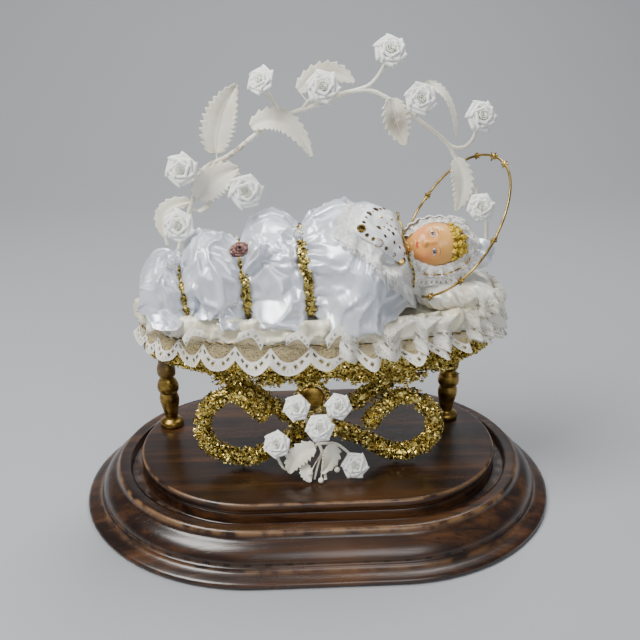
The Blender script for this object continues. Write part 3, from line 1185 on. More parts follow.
def makeBib(surface):
    def quilted(u, v):
        edge = min(u, 1 - u, v, 1 - v)
        out = 0.8 + 1.1 * smooth(edge, 0.0, 0.09) + 0.25 * ragged(u * 6, v * 6, 1.0)
        return bibPatch(surface, bib["shield"], u, v, out)

    bm = bmesh.new()
    addSheet(bm, 30, 30, quilted)
    for _ in range(3):
        inside = [vert for vert in bm.verts if not vert.is_boundary]
        bmesh.ops.smooth_vert(bm, verts=inside, factor=0.5, use_axis_x=True, use_axis_y=True, use_axis_z=True)
    satin = satinFinish("bibSatin", (0.92, 0.93, 0.95), (0.86, 0.87, 0.90), 0.42, None, 0.1)
    piece = newPiece("satinBib", bm, satin, ["bib"])
    addModifier(piece, "SOLIDIFY", thickness=0.7 * mm, offset=-1)
    declareSheet(piece, 26)

    def ground(u, v):
        wave = 0.45 * sin(u * 46) * sin(v * 40)
        return bibPatch(surface, bib["fringe"], u, v, 0.75 + wave * 0.6)

    bm = bmesh.new()
    addSheet(bm, 60, 60, ground)
    lace = laceFinish("bibLace", "flower", 5, (0.94, 0.94, 0.92), (0.88, 0.87, 0.82))
    piece = newPiece("bibLaceGround", bm, lace, ["bib_lace"])
    declareSheet(piece, 36)

    rng = random.Random(41)
    bm = bmesh.new()  # looped threads make the lace's feathery edge
    rim = [(k / 64, 0.0, 0, -1) for k in range(65)] + [(k / 64, 1.0, 0, 1) for k in range(65)]
    rim += [(0.0, k / 64, -1, 0) for k in range(65)]
    for u, v, du, dv in rim:
        for _ in range(4):
            length = rng.uniform(0.05, 0.17)
            sway = rng.gauss(0, 0.026)
            loop = []
            for step in range(7):
                t = step / 6
                bulge = sin(pi * t) * 0.016 * (1 if step < 4 else -1)
                reach = sin(pi * t) * length
                bend = bulge + sway * t
                across = clamp(u + du * reach + bend * abs(dv), -0.2, 1.0)
                along = clamp(v + dv * reach + bend * abs(du), -0.2, 1.2)
                out = 1.1 + 2.0 * sin(pi * t) * rng.random()
                loop.append(bibPatch(surface, bib["fringe"], across, along, out) * mm)
            addTube(bm, loop, 0.15, 4)
    thread = Finish("laceThread", Roughness=0.85)
    thread.feed(Base_Color=thread.blend(thread.cloud(900, 2), (0.84, 0.83, 0.80), (0.95, 0.95, 0.93)))
    newPiece("bibFringe", bm, thread)

    stones = dict(gold=bmesh.new(), dark=bmesh.new(), clear=bmesh.new())
    settings = bmesh.new()
    places = [(x, turn, 1.9 if kind != "dark" else 1.5, kind) for x, turn, kind in bib["large"]]
    places += [(x, turn, 1.0, "dark" if k % 3 else "gold") for k, (x, turn) in enumerate(bib["small"])]
    for x, turn, radius, kind in places:
        here, above = bibSpot(surface, x, turn, 2.1), bibSpot(surface, x, turn, 3.1)
        matrix = turnedTo(above - here, here)
        cut = [(0.01, 0.0), (radius, 0.0), (radius, 0.25), (radius * 0.62, radius * 0.55),
               (0.01, radius * 0.55)]
        lathe(stones[kind], cut, 8, matrix)
        cup = [(radius * 0.9, -0.25), (radius * 1.22, -0.2), (radius * 1.2, 0.25), (radius * 1.02, 0.38),
               (radius * 1.0, 0.0)]
        lathe(settings, cup, 10, matrix)
    dark = Finish("smokyStone", Roughness=0.06, Coat_Weight=1.0)
    dark.feed(Base_Color=dark.blend(dark.cells(300), (0.008, 0.007, 0.009), (0.07, 0.06, 0.07)))
    foil = goldThreadFinish("goldFoilStone", (0.60, 0.42, 0.14), (0.20, 0.12, 0.03), 0.16)
    newPiece("goldStones", stones["gold"], foil, smooth=False)
    newPiece("smokyStones", stones["dark"], dark, smooth=False)
    newPiece("clearStone", stones["clear"], crystalFinish("whiteCrystal", 420.0), smooth=False)
    brass = goldThreadFinish("stoneCupBrass", (0.46, 0.32, 0.10), (0.10, 0.06, 0.02), 0.32)
    newPiece("stoneCups", settings, brass)

    bm = bmesh.new()  # twisted gold cord round the neck
    neck = []
    for k in range(61):
        place = bodyPoint(37.8, mix(-6, 96, k / 60), 3.0 + 0.5 * sin(k * 0.5))
        neck.append((place + Vector((1.2 + 0.5 * sin(k * 0.37), 0, 0))) * mm)
    for strand in range(3):
        addTube(bm, twistPath(neck, 0.34, 17, strand / 3), 0.32, 6)
    newPiece("neckCord", bm, goldThreadFinish("neckCordGold"), ["neck_cord"])
    print("bib made")


# Head
head = dict(
    centre=(57.5, -6.0, 140.5), length=15.6, depth=11.4, width=11.2, tilt=5.0, gaze=27.0, eye=(4.5, -2.0),
    mouth=-9.7, span=50,
)
hills = (  # side, crown, spread to the side, spread along the crown, height
    (0, 7.5, 6.0, 4.5, 0.5), (4.5, 1.3, 2.8, 1.0, 0.3), (4.5, -1.9, 2.7, 1.5, -0.75),
    (4.5, -1.95, 1.75, 0.95, 0.72), (4.5, -0.75, 2.1, 0.35, 0.22), (5.9, -7.3, 3.2, 2.8, 0.75),
    (0, -2.6, 1.0, 2.6, 0.75), (0, -6.0, 1.15, 1.25, 1.75), (1.35, -6.5, 0.62, 0.62, 0.65),
    (0.72, -7.25, 0.32, 0.3, -0.5), (0, -8.2, 0.35, 0.6, -0.22), (1.0, -9.15, 1.1, 0.42, 0.55),
    (0, -10.4, 1.5, 0.45, 0.6), (0, -9.75, 1.9, 0.17, -0.42), (2.3, -9.8, 0.5, 0.6, -0.25),
    (0, -11.7, 2.2, 0.55, -0.35), (0, -13.1, 2.4, 1.4, 0.75),
)


def headAxes():
    tilt = Matrix.Rotation(radians(-head["tilt"]), 3, "Y")
    gaze = radians(head["gaze"])
    crown = tilt @ Vector((1, 0, 0))
    face = tilt @ Vector((0, -cos(gaze), sin(gaze)))
    return crown, face, crown.cross(face)


def onHead(crown, face, side):
    axes = headAxes()
    return Vector(head["centre"]) + axes[0] * crown + axes[1] * face + axes[2] * side


def headShape(crown, face, side):
    jaw = 1.0 - 0.20 * smooth(-crown, 0.15, 1.0)
    temple = 1.0 - 0.05 * smooth(crown, 0.2, 0.9)
    along = head["length"] * crown
    out = head["depth"] * face * (1.0 - 0.05 * smooth(-crown, 0.3, 1.0))
    aside = head["width"] * side * jaw * temple
    if face > 0:
        flat = smooth(face, 0.0, 0.55)
        for s, c, wide, tall, height in hills:
            near = ((abs(aside) - s) / wide) ** 2 + ((along - c) / tall) ** 2
            if near < 9:
                out += flat * height * exp(-near)
    else:
        ear = ((along + 2.5) / 2.6) ** 2 + ((face + 0.12) / 0.14) ** 2
        aside += copysign(0.9 * exp(-ear), aside)
    return along, out, aside


def waxFinish():
    finish = Finish("paintedWax", IOR=1.45, Subsurface_Weight=0.22, Subsurface_Scale=2.2 * mm,
                    Subsurface_Radius=(1.0, 0.42, 0.2), Coat_Roughness=0.16)
    uv = finish.node("ShaderNodeTexCoord", output="UV")
    across, up, _ = finish.axes(uv)
    side, crown = (across - 0.5) * head["span"], (up - 0.5) * head["span"]
    a, b = abs(side) - head["eye"][0], crown - head["eye"][1]
    arch = 1.0 - (abs(a) / 2.15) ** 2.0
    upper, lower = arch * 1.0 - b, b + arch * 0.62
    opened = finish.fade(upper, 0.0, 0.1) * finish.fade(lower, 0.0, 0.1) * finish.fade(abs(a), 2.2, 2.1)
    iris = finish.far(a, b - 0.12)
    glint = finish.far(a + 0.26, b - 0.42)
    cheek = finish.far(abs(side) - 6.2, crown + 6.8)
    socket = (a * a * 0.55 + (b - 0.2) * (b - 0.2)).math("SQRT")
    brow = finish.near(b - 3.0 + a * a * 0.13, 0.0, 0.42) * finish.fade(abs(a - 0.2), 2.5, 1.5)
    crease = finish.near(b - arch * 1.45, 0.0, 0.2) * finish.fade(abs(a), 2.1, 1.6)
    lash = finish.near(upper, 0.0, 0.24) * finish.fade(abs(a), 2.3, 1.9)
    under = finish.near(lower, 0.0, 0.14) * finish.fade(abs(a), 2.1, 1.7)
    m = crown - head["mouth"]
    bow = 1.0 - (abs(side) / 2.05) ** 2.0
    notch = finish.near(side, 0.0, 0.55) * 0.22
    lips = finish.fade(bow * 0.72 - notch - m, 0.0, 0.16) * finish.fade(m + bow * 0.85, 0.0, 0.16)
    lips = lips * finish.fade(abs(side), 2.1, 1.9)
    line = finish.near(m, 0.0, 0.11) * finish.fade(abs(side), 2.0, 1.6)
    nostril = finish.far(abs(side) - 0.72, crown + 7.2)
    scalp = finish.fade(crown + abs(side) * 0.14, 7.2, 9.0)
    tint = finish.cloud(65, 4)
    colour = finish.paint(
        finish.blend(tint, (0.68, 0.29, 0.065), (0.76, 0.37, 0.09)),
        (finish.fade(crown, -3.0, 8.0) * 0.6, (0.80, 0.49, 0.15)),
        (finish.fade(cheek, 0.4, 5.0, 0.55, 0.0), (0.80, 0.23, 0.11)),
        (finish.fade(socket, 1.2, 2.7, 0.42, 0.0), (0.62, 0.26, 0.15)),
        (brow * 0.8, (0.20, 0.075, 0.025)),
        (crease * 0.4, (0.34, 0.12, 0.06)),
        (opened, (0.72, 0.70, 0.68)),
        (opened * finish.fade(iris, 1.08, 0.94), (0.045, 0.06, 0.12)),
        (opened * finish.fade(iris, 0.58, 0.46), (0.008, 0.008, 0.012)),
        (finish.fade(glint, 0.22, 0.14), (0.95, 0.95, 0.95)),
        (lash * 0.9, (0.05, 0.02, 0.012)),
        (under * 0.5, (0.30, 0.10, 0.06)),
        (lips * 0.88, (0.62, 0.07, 0.035)),
        (line * 0.75, (0.22, 0.02, 0.012)),
        (finish.fade(nostril, 0.38, 0.2, 0.0, 0.75), (0.40, 0.07, 0.035)),
        (scalp, (0.34, 0.20, 0.025)),
    )
    gloss = finish.fade(lips + opened, 0.0, 1.0, 0.0, 0.12)
    finish.feed(Base_Color=colour, Roughness=tint * 0.12 + 0.27 - gloss, Coat_Weight=opened * 0.6 + 0.22)
    finish.bump(finish.cloud(240, 3), 0.1 * mm, 0.12)
    return finish


def makeHead():
    bm = bmesh.new()
    bmesh.ops.create_uvsphere(bm, u_segments=232, v_segments=176, radius=1.0, calc_uvs=True)
    layer = bm.loops.layers.uv.verify()
    spots = {}
    for vert in bm.verts:
        side, face, crown = vert.co
        along, out, aside = headShape(crown, -face, side)
        spots[vert] = (along, aside, -face)
        vert.co = onHead(along, out, aside) * mm
    for face in bm.faces:
        away = 10.0 if min(spots[vert][2] for vert in face.verts) < 0.02 else 0.0
        for loop in face.loops:
            along, aside, _ = spots[loop.vert]
            loop[layer].uv = (0.5 + aside / head["span"] + away, 0.5 + along / head["span"])
    bmesh.ops.recalc_face_normals(bm, faces=bm.faces)
    newPiece("waxHead", bm, waxFinish(), ["head"])

    rng = random.Random(17)
    bm = bmesh.new()  # modelled ringlets over the forehead
    for crown, count, wide in ((8.4, 8, 1.1), (10.7, 8, 1.35), (12.9, 6, 1.4), (14.5, 4, 1.3)):
        for k in range(count):
            spread = (2 * k / (count - 1) - 1) * radians(82)
            level = crown / head["length"]
            ring = sqrt(max(0.0, 1 - level * level))
            along, out, aside = headShape(level + rng.gauss(0, 0.02), ring * cos(spread), ring * sin(spread))
            root = onHead(along, out + 0.2, aside)
            outward = (root - Vector(head["centre"])).normalized()
            up, _, sideways = headAxes()
            lean = (up * rng.uniform(-0.7, 0.1) + outward * 0.5 + sideways * rng.gauss(0, 0.45)).normalized()
            curl, turns, steps = wide * rng.uniform(0.85, 1.15), rng.uniform(1.7, 2.5), 26
            one = lean.orthogonal().normalized()
            two = lean.cross(one)
            hand = rng.choice((-1, 1))
            path = []
            for step in range(steps):
                t = step / (steps - 1)
                angle = 2 * pi * turns * t * hand
                size = curl * (1.05 - 0.5 * t)
                swing = (one * cos(angle) + two * sin(angle)) * size
                path.append((root + lean * (2.3 * t - 0.3) + swing) * mm)
            addTube(bm, path, 0.68, 8, lambda t: 1.0 - 0.35 * t)
    hair = Finish("gildedHair", Roughness=0.38, Metallic=0.1)
    strand = hair.cloud(900, 3)
    hair.feed(Base_Color=hair.ramp(strand, (0.3, (0.24, 0.15, 0.008)), (0.48, (0.60, 0.40, 0.025)),
                                   (0.68, (0.86, 0.65, 0.10))))
    hair.bump(hair.cloud(1400, 2), 0.14 * mm, 0.6)
    newPiece("curls", bm, hair)
    print("head made")


# Bonnet
bonnet = dict(grow=1.12, wall=1.3, plane=1.5, knot=(79.5, 0.5, 133.0), knotSize=(9.6, 7.4, 8.2))


def frillSpot(turn, v, low, reach, waves, height, lean, phase):
    a = radians(turn)
    c, s = cos(a), sin(a)
    aside = head["width"] * (1.0 - 0.16 * smooth(-c, 0.1, 1.0)) + 0.5
    rim = 1.0 / sqrt((c / (head["length"] + 0.4)) ** 2 + (s / aside) ** 2)
    wide = reach * (0.48 + 0.44 * smooth(s, -0.3, 0.7) + 0.10 * smooth(c, 0.2, 1.0))
    wave = sin(radians(turn) * waves + phase) + 0.55 * ragged(turn * 0.11 + phase, v, 1.0, 5.0)
    r = rim + low + v * wide + 0.25 * wide * v * ragged(turn * 0.05 + phase, 0, 1.0, 8.0)
    rise = bonnet["plane"] + 2.6 * (1 - v) + lean * v + (0.15 + v) * height * wave
    return onHead(r * c, rise, r * s)


def makeBonnet():
    axes = headAxes()
    h = [(part + bonnet["wall"]) * bonnet["grow"] for part in (head["length"], head["depth"], head["width"])]

    def hood(u, v):
        a = 2 * pi * u
        ring = sin(0.5 * pi * (0.02 + 0.98 * v))
        uneven = ragged(cos(a) * 4, sin(a) * 4 + v * 3, 1.0)
        gather = 1.0 + 0.03 * sin(22 * a) * v + 0.02 * uneven
        face = bonnet["plane"] - h[1] * cos(0.5 * pi * v)
        return onHead(h[0] * ring * cos(a) * gather, face, h[2] * ring * sin(a) * gather)

    bm = bmesh.new()
    addSheet(bm, 132, 20, hood, around=True)
    capEnds(bm)
    bm.faces.ensure_lookup_table()
    cap = max(bm.faces, key=lambda face: len(face.verts) * 1000 + face.calc_area() * 1e6)
    bmesh.ops.delete(bm, geom=[cap], context="FACES_ONLY")
    linen = satinFinish("bonnetLinen", (0.88, 0.87, 0.83), (0.78, 0.76, 0.70), 0.6, None, 0.0)
    piece = newPiece("bonnetHood", bm, linen, ["bonnet"])
    addModifier(piece, "SOLIDIFY", thickness=0.6 * mm, offset=1)
    declareSheet(piece, 60)

    layers = (  # from, to, low, reach, waves, height, lean, phase
        (-158, 158, -0.6, 6.4, 15, 1.1, -1.2, 0.0), (-60, 165, -0.2, 10.0, 11, 1.5, -3.0, 1.7),
        (-150, -40, -1.0, 5.0, 21, 0.9, 1.4, 3.1), (20, 150, -0.9, 6.2, 18, 1.3, 1.2, 0.6),
        (-45, 35, -1.0, 5.0, 17, 1.1, 1.6, 2.2),
    )
    lace = laceFinish("bonnetLace", "loops", 30, (0.90, 0.89, 0.86), (0.82, 0.79, 0.70))
    for number, (first, last, *ruffle) in enumerate(layers, 1):
        bm = bmesh.new()
        addSheet(bm, 260, 12, lambda u, v: frillSpot(mix(first, last, u), v, *ruffle))
        piece = newPiece(f"bonnetFrill.{number}", bm, lace)
        declareSheet(piece, 90)
    thread = [frillSpot(28 + k, 0.42, -0.2, 9.8, 11, 1.0, -2.2, 1.7) * mm + axes[1] * 1.1 * mm
              for k in range(91)]
    bm = bmesh.new()
    addTube(bm, thread, 0.42, 8)
    wire = goldThreadFinish("bonnetGold", (0.50, 0.34, 0.10), (0.12, 0.07, 0.02), 0.38)
    newPiece("bonnetThread", bm, wire)

    place, size = Vector(bonnet["knot"]), bonnet["knotSize"]

    def knot(u, v):
        a, b = 2 * pi * u, pi * (v - 0.5)
        fold = 1.0 + 0.07 * sin(5 * a + 2.4 * sin(b) + 0.6) + 0.04 * sin(9 * a - 3 * b)
        pinch = 1.0 - 0.16 * smooth(-cos(a), 0.3, 1.0)
        c = cos(b)
        z = size[2] * sin(b) * (1.0 + 0.03 * cos(3 * a)) + 1.2 * c * cos(a)
        return place + Vector((size[0] * c * cos(a) * fold * pinch, size[1] * c * sin(a) * fold, z))

    bm = bmesh.new()
    addSheet(bm, 80, 40, knot, around=True)
    capEnds(bm)
    satin = satinFinish("knotSatin", (0.87, 0.89, 0.94), (0.76, 0.79, 0.87), 0.27)
    piece = newPiece("satinKnot", bm, satin)
    refine(piece)
    print("bonnet made")


# Halo
halo = dict(centre=(67.8, -1.2, 149.4), across=27.0, along=39.8, wire=0.62, start=98, end=377,
            stars=(108, 140, 178, 248, 267, 289, 312, 345, 372))


def haloSpot(degrees):
    across, along = Vector((-0.58, 0.81, 0)).normalized(), Vector((-0.5, -0.36, -0.79)).normalized()
    a = radians(degrees)
    wobble = 1.0 + 0.006 * sin(5 * a)
    spot = across * halo["across"] * cos(a) + along * halo["along"] * sin(a)
    return Vector(halo["centre"]) + spot * wobble


def makeHalo():
    rng = random.Random(8)
    bm = bmesh.new()
    path = [haloSpot(mix(halo["start"], halo["end"], k / 150)) * mm for k in range(151)]
    addTube(bm, path, halo["wire"], 10)
    flat = (haloSpot(90) - haloSpot(270)).cross(haloSpot(0) - haloSpot(180)).normalized()
    for degrees in halo["stars"]:
        place = haloSpot(degrees)
        radial = (place - Vector(halo["centre"])).normalized()
        across = flat.cross(radial)
        ball = bmesh.ops.create_icosphere(bm, subdivisions=2, radius=1.15 * mm)["verts"]
        bmesh.ops.translate(bm, vec=place * mm, verts=ball)
        for k in range(6):
            a = radians(60 * k + rng.uniform(-9, 9))
            way = radial * cos(a) + across * sin(a) + flat * rng.gauss(0, 0.2)
            long = rng.uniform(2.0, 2.9)
            ray = [(0.0, -0.2), (0.8, 0.0), (0.62, long * 0.5), (0.3, long * 0.9), (0.0, long)]
            lathe(bm, ray, 7, turnedTo(way, place))
        for _ in range(5):
            way = scatter(rng, 1).normalized()
            knob = bmesh.ops.create_icosphere(bm, subdivisions=1, radius=rng.uniform(0.45, 0.7) * mm)["verts"]
            bmesh.ops.translate(bm, vec=(place + way * 1.15) * mm, verts=knob)
    finish = Finish("agedBrass", Metallic=1.0)
    wear = finish.cloud(130, 4)
    colour = finish.ramp(wear, (0.35, (0.10, 0.065, 0.018)), (0.52, (0.36, 0.24, 0.06)),
                         (0.7, (0.66, 0.47, 0.16)))
    finish.feed(Base_Color=colour, Roughness=finish.fade(wear, 0.3, 0.7, 0.5, 0.26))
    finish.bump(finish.cloud(800, 3), 0.15 * mm, 0.5)
    newPiece("starHalo", bm, finish, ["halo"])
    print("halo made")


# Roses, leaves and their wrapped stems
archStem = (
    (-70, 9, 136), (-65, 9, 152), (-61.5, 8, 163), (-60, 9, 171), (-54, 10, 178), (-45, 9, 182.5),
    (-38.5, 8, 187), (-31, 8, 193), (-22, 9, 199), (-13, 9, 203.5), (-4, 9, 206.5), (5, 9, 209.5),
    (12, 8, 213), (24, 8, 214.5), (33, 8, 211), (43, 8, 205), (49, 8, 200), (56, 8, 195), (64, 8, 188),
    (69, 9, 180), (74, 10, 173), (79, 11, 166), (83, 12, 158), (87, 13, 146), (87.5, 13, 134),
)
archBranches = (  # points, radius
    (((-62, 8.5, 160.5), (-72, 9, 156.5), (-77, 10, 148), (-76, 10, 138)), 0.8),
    (((-60.5, 8.5, 169), (-62, 6, 174), (-64.5, 4.5, 177)), 0.9),
    (((-45, 9, 182.5), (-40, 8, 176), (-36.5, 6, 171)), 0.8),
    (((-16, 9, 202), (-20.5, 8, 208), (-23, 6, 213), (-25, 4.5, 216)), 1),
    (((-8, 9, 205), (-4, 8, 210), (0, 5, 213.5)), 0.9),
    (((16, 8, 214), (24, 8, 216.5), (28.5, 7, 221), (31.5, 4.5, 227)), 1),
    (((47, 8, 202), (48.5, 5, 206)), 0.9),
    (((61, 8, 190.5), (67, 8, 186.5), (72.5, 8, 186.5), (76, 6, 191), (77, 4, 196.5)), 0.9),
    (((80, 11, 164.5), (80.5, 7, 160.5)), 0.9),
)
archRoses = (  # place, radius, facing
    ((-66, 0, 179), 7.6, (-0.15, -0.95, 0.25)),
    ((-35.5, 1, 167.5), 8, (0.1, -0.95, 0.2)),
    ((-69, 0, 151), 7.6, (-0.1, -0.95, 0.3)),
    ((-27, 0, 221), 6.6, (-0.5, -0.7, 0.5)),
    ((2, -1.5, 218), 7.6, (0, -0.9, 0.35)),
    ((33.5, 0.5, 234), 7.4, (0.05, -0.85, 0.5)),
    ((48.5, -1, 212), 7.4, (0, -0.95, 0.3)),
    ((78, 0, 203), 7.4, (0.25, -0.9, 0.35)),
    ((81, 1, 157.5), 6.8, (0.1, -0.9, 0.35)),
)
archLeaves = (  # start, middle, tip, width, facing
    ((-49.5, 12, 184), (-47, 13, 201), (-38.5, 13, 217), 18.5, (0, -1, 0.1)),
    ((-59, 5.6, 163), (-50, 4.5, 173), (-38.5, 4, 178.5), 18, (0.1, -1, 0.2)),
    ((-32, 5.4, 198), (-16, 4.5, 200.5), (-3, 1.5, 184), 13, (0, -1, 0.7)),
    ((-9, 13, 214), (5, 13, 222), (18, 12, 217.5), 12.5, (0, -1, 0.2)),
    ((36, 5.8, 211), (38, 3.5, 200), (43, 2.5, 189), 14.5, (0.2, -1, -0.1)),
    ((52, 10, 216), (62, 7, 211), (67.5, 4, 192), 8, (0.8, -0.6, 0.3)),
    ((68, 6, 181), (72, 5, 168), (69.5, 5, 154.5), 12, (0.1, -1, 0)),
    ((-64, 12, 160), (-77, 12, 154), (-77, 10, 142), 9, (0, -1, 0.3)),
    ((-59.5, 8, 156), (-56, 7.5, 157.5), (-51.5, 7, 161), 3.6, (0.2, -0.5, 1)),
)
sprayRoses = (
    ((-13, -40, 69.5), 6.2, (-0.1, -0.9, 0.4)),
    ((7.5, -40, 69.5), 6.2, (0.1, -0.9, 0.4)),
    ((-2, -46.5, 61.5), 6.6, (0, -0.9, 0.4)),
    ((-23, -39.5, 49), 6.4, (-0.2, -0.9, 0.4)),
    ((16, -41, 36.4), 6.4, (0.1, -0.9, 0.45)),
)
sprayStems = (
    (((-11, -35.5, 66), (-7, -35.5, 58), (-3, -36, 50), (0, -38, 41), (1, -41, 31.5), (1.2, -42, 29.2)), 0.9),
    (((6, -35.5, 66), (3, -36, 58), (-3, -36, 50)), 0.8),
    (((-2, -40, 59), (-2, -37, 54), (-3, -36, 49)), 0.8),
    (((-23.5, -36, 45.5), (-22, -37, 38), (-18, -38, 33.5), (-10, -37.5, 38), (-2.5, -36.5, 47)), 0.8),
    (((-2.5, -36.5, 47), (6, -37, 47), (11, -37, 43.5), (14.5, -37.5, 40)), 0.8),
    (((-0.5, -37.5, 43), (-3, -40, 35), (-4.5, -42, 29.6)), 0.6),
)
sprayLeaves = (
    ((-4, -39.5, 47), (-13, -40.5, 42), (-17, -41, 33), 12, (-0.1, -1, 0.4)),
    ((3, -39.5, 48), (4, -41, 41), (-1, -42.5, 33.5), 10, (0.2, -1, 0.3)),
    ((-9, -40.5, 38), (-8.5, -42.5, 33.5), (-6.5, -44, 29.4), 7, (0, -1, 0.5)),
)

def ivoryPaper(name, stains=(), patchy=(0.1, 0.5)):
    finish = Finish(name, Roughness=0.78, Sheen_Weight=0.15)
    mottle = finish.cloud(90, 4)
    colour = finish.blend(finish.fade(mottle, 0.35, 0.7), (0.84, 0.81, 0.70), (0.74, 0.69, 0.55))
    for place, size in stains:
        inputs = {0: finish.place, 1: Vector(place) * mm}
        far = finish.node("ShaderNodeVectorMath", {"operation": "DISTANCE"}, inputs, "Value")
        patch = finish.fade(finish.cloud(420, 4), *patchy)
        spots = finish.fade(far, 0.2 * size * mm, size * mm, 1.0, 0.0) * patch
        colour = finish.blend(spots * 0.72, colour, (0.17, 0.125, 0.08))
    finish.feed(Base_Color=colour)
    finish.bump(finish.streaks(2, 900, 900, 260) * 0.6 + mottle * 0.4, 0.2 * mm, 0.6)
    return finish


def roseTemplate(seed):
    rng = random.Random(seed)
    bm = bmesh.new()
    lips = ((0.42, -0.42), (0.62, -0.16), (0.76, -0.01), (0.88, 0.03), (0.97, -0.02), (1.0, -0.14))
    turn = rng.uniform(0, 6)
    for size, height, count in ((1.0, 0.10, 6), (0.77, 0.26, 5), (0.53, 0.38, 5)):
        turn += rng.uniform(0.45, 0.8)
        for k in range(count):
            a = turn + 2 * pi * k / count + rng.gauss(0, 0.06)
            out, aside = Vector((cos(a), sin(a), 0)), Vector((-sin(a), cos(a), 0))
            half = tan(pi / count) * rng.uniform(1.08, 1.18)
            pin, tall, curl = rng.uniform(0.03, 0.07), rng.gauss(0, 0.012), rng.uniform(0.85, 1.1)

            def petal(u, v):
                s = 2 * u - 1
                r, z = between(lips, v)
                r = size * (r + pin * s - 0.05 * s ** 4)
                wide = half * size * (0.72 + 0.28 * min(1.0, r / size))
                rise = height + z * curl * 0.8 + tall + 0.03 * s - 0.04 * s ** 4
                return out * r + aside * s * wide + Vector((0, 0, rise))

            addSheet(bm, 6, 6, petal)
    before = set(bm.faces)

    def spiral(u, v):
        a = turn + u * 2.3 * 2 * pi
        r = mix(0.31, 0.05, u) * (1.0 + 0.06 * sin(3 * a)) + 0.03 * v
        return Vector((r * cos(a) + 0.02, r * sin(a) - 0.02, 0.10 + 0.36 * v + 0.03 * sin(2 * a)))

    addSheet(bm, 40, 2, spiral)
    layer = bm.loops.layers.uv.verify()
    for face in bm.faces:
        for loop in face.loops:
            loop[layer].uv.x += 2.0 if face not in before else 0.0
    bmesh.ops.scale(bm, vec=(1 / mm,) * 3, verts=bm.verts)  # the template is one unit in radius
    return newMesh("roseTemplate", bm)


def ribbonFinish():
    finish = Finish("ribbonWhite", Roughness=0.6, Sheen_Weight=0.3)
    across, up, _ = finish.axes(finish.node("ShaderNodeTexCoord", output="UV"))
    weave = finish.streaks(1, 4200, 2600, 4200)
    tone = finish.cloud(160, 3)
    deep = finish.fade(up, 0.0, 0.35, 1.0, 0.0)
    finish.feed(Base_Color=finish.paint(
        finish.blend(finish.fade(tone, 0.3, 0.7), (0.92, 0.92, 0.89), (0.86, 0.86, 0.82)),
        (deep * 0.35, (0.80, 0.78, 0.68)),
        (finish.fade(across, 1.6, 1.9) * 0.55, (0.88, 0.86, 0.72)),
    ))
    finish.bump(weave, 0.06 * mm, 0.4)
    return finish


def makeRoses(prefix, roses, finish, templates):
    rng = random.Random(len(roses))
    for number, (place, radius, facing) in enumerate(roses, 1):
        bm = bmesh.new()
        size = radius * 0.95
        matrix = turnedTo(facing, place, rng.uniform(0, 6), size * mm)
        sprinkle(bm, templates[rng.randrange(len(templates))], [matrix])
        bud = bmesh.ops.create_uvsphere(bm, u_segments=12, v_segments=6, radius=size * 0.62 * mm)["verts"]
        behind = turnedTo(facing, Vector(place) - Vector(facing).normalized() * size * 0.44)
        bmesh.ops.transform(bm, matrix=behind, verts=bud)
        piece = newPiece(f"{prefix}Rose.{number}", bm, finish, [f"{prefix}_rose_{number}"])
        addModifier(piece, "SOLIDIFY", thickness=0.3 * mm, offset=-1)


leafCut = dict(tooth=2.9, rising=0.82, stagger=0.37, depth=0.34, cup=0.16, columns=96, rows=10)


def makeLeaves(prefix, leaves, finishes, stem):
    rng = random.Random(len(prefix) + 5)
    for number, (start, middle, tip, width, facing) in enumerate(leaves, 1):
        start, middle, tip = Vector(start), Vector(middle), Vector(tip)
        bend = middle * 2 - start * 0.5 - tip * 0.5
        midrib = lambda t: start * (1 - t) ** 2 + bend * 2 * t * (1 - t) + tip * t * t
        phase = rng.uniform(0, 6)
        teeth = 5 if width < 5 else max(6, round((tip - start).length / leafCut["tooth"]))

        def blade(u, v):
            t, s = u, 2 * v - 1
            along = (midrib(min(1.0, t + 0.01)) - midrib(max(0.0, t - 0.01))).normalized()
            across = along.cross(Vector(facing)).normalized()
            normal = across.cross(along).normalized()
            outline = sin(pi * min(0.985, 0.05 + 0.95 * t ** 0.8)) ** 0.62
            saw = (t * teeth + (leafCut["stagger"] if s > 0 else 0.0)) % 1.0
            rising = leafCut["rising"]
            cut = 1.0 - saw if saw < rising else (saw - rising) / (1 - rising)
            half = max(0.35, width * 0.54 * outline * (1.0 - leafCut["depth"] * cut * abs(s) ** 5))
            vein = 0.05 * width * exp(-((s / 0.07) ** 2))
            wave = 0.05 * width * sin(t * 6 + phase + s) * abs(s)
            rise = abs(s) * half * leafCut["cup"] - vein * 0.6 + wave
            return midrib(t) + across * s * half + normal * rise

        bm = bmesh.new()
        addSheet(bm, leafCut["columns"], leafCut["rows"], blade)
        finish = finishes[1] if prefix == "arch" and number == 5 else finishes[0]
        piece = newPiece(f"{prefix}Leaf.{number}", bm, finish, [f"{prefix}_leaf_{number}"])
        addModifier(piece, "SOLIDIFY", thickness=0.4 * mm, offset=0)
        bm = bmesh.new()
        near = min(stem, key=lambda p: (p / mm - start).length)
        wire = [near] + [(midrib(t) + Vector((0, 0.35, 0))) * mm for t in (0.0, 0.12, 0.25, 0.4, 0.55, 0.7)]
        addTube(bm, wire, 0.34, 6, lambda t: 1.0 - 0.5 * t)
        newPiece(f"{prefix}LeafWire.{number}", bm, finishes[0])


def makeStems(name, paths, finish, node):
    bm = bmesh.new()
    for path, radius, taper in paths:
        steps = len(path) - 1
        knots = lambda t: 0.05 * sin(t * steps * 1.9) + 0.04 * ragged(t * steps * 0.5, 0, 1.0)
        addTube(bm, path, radius, 10, lambda t: 1.0 - taper * t + knots(t))
    newPiece(name, bm, finish, [node])


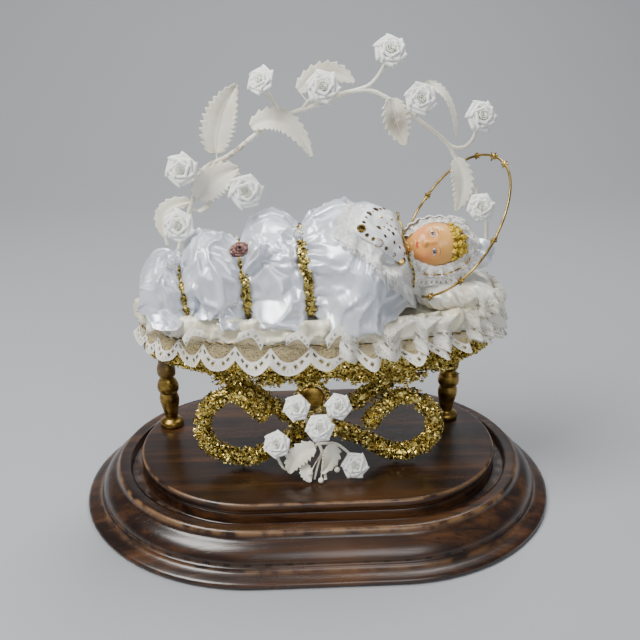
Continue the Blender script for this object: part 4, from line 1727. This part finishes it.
def makeFlowers():
    templates = [roseTemplate(seed) for seed in (2, 5, 9)]
    white = ribbonFinish()
    stained = [((-38.5, 8, 187), 9.0), ((-61, 8, 165), 7.0), ((-50, 9, 180), 5.0), ((75, 10, 171), 6.0),
               ((83, 12, 157), 6.0)]
    wrapped = ivoryPaper("wrappedIvory", stained, (0.42, 0.58))
    leafy = ivoryPaper("stiffIvory")
    shaded = ivoryPaper("shadedIvory", [((38, 3.5, 200), 9.0)])
    archPaths = [(smoothPath(archStem, 190), 1.3, 0.2)]
    archPaths += [(smoothPath(points, 26), radius, 0.1) for points, radius in archBranches]
    sprayPaths = [(smoothPath(points, 36), radius, 0.1) for points, radius in sprayStems]
    for name, node, paths, roses, leaves in (("arch", "arch_stem", archPaths, archRoses, archLeaves),
                                             ("spray", "spray_stems", sprayPaths, sprayRoses, sprayLeaves)):
        makeStems("wrapped" + name.title(), paths, wrapped, node)
        makeRoses(name, roses, white, templates)
        makeLeaves(name, leaves, (leafy, shaded), [spot for path in paths for spot in path[0]])
    rng = random.Random(23)
    bm = bmesh.new()
    gathered = Vector((0.6, -37.3, 44))
    for place in ((-1.2, -43.2, 29.6), (7.0, -41.5, 34.6), (-6.6, -43.0, 33.8)):  # beads at the spray's foot
        size = rng.uniform(1.1, 1.5) * mm
        bead = bmesh.ops.create_uvsphere(bm, u_segments=16, v_segments=10, radius=size)["verts"]
        bmesh.ops.translate(bm, vec=Vector(place) * mm, verts=bead)
        between = (Vector(place) + Vector((0.3, -37.5, 45))) / 2
        addTube(bm, smoothPath([place, between, gathered], 12), 0.28, 6)
    newPiece("stamenBeads", bm, leafy)
    print("flowers made")


makeCamera()
makeLights()
makeStage()
makeBase()
makeLegs()
crumbs = crumbTemplates(3)
gold = bullionFinish()
makeRopes(gold, crumbs)
makeMedallion(gold, crumbs)
makeTray(gold, crumbs)
makeMattress()
makeValance()
swaddled = makeSwaddling()
surface = BVHTree.FromObject(swaddled, bpy.context.evaluated_depsgraph_get())
makePillow()
makeBands()
makeStones()
makeBib(surface)
makeHead()
makeBonnet()
makeHalo()
makeFlowers()
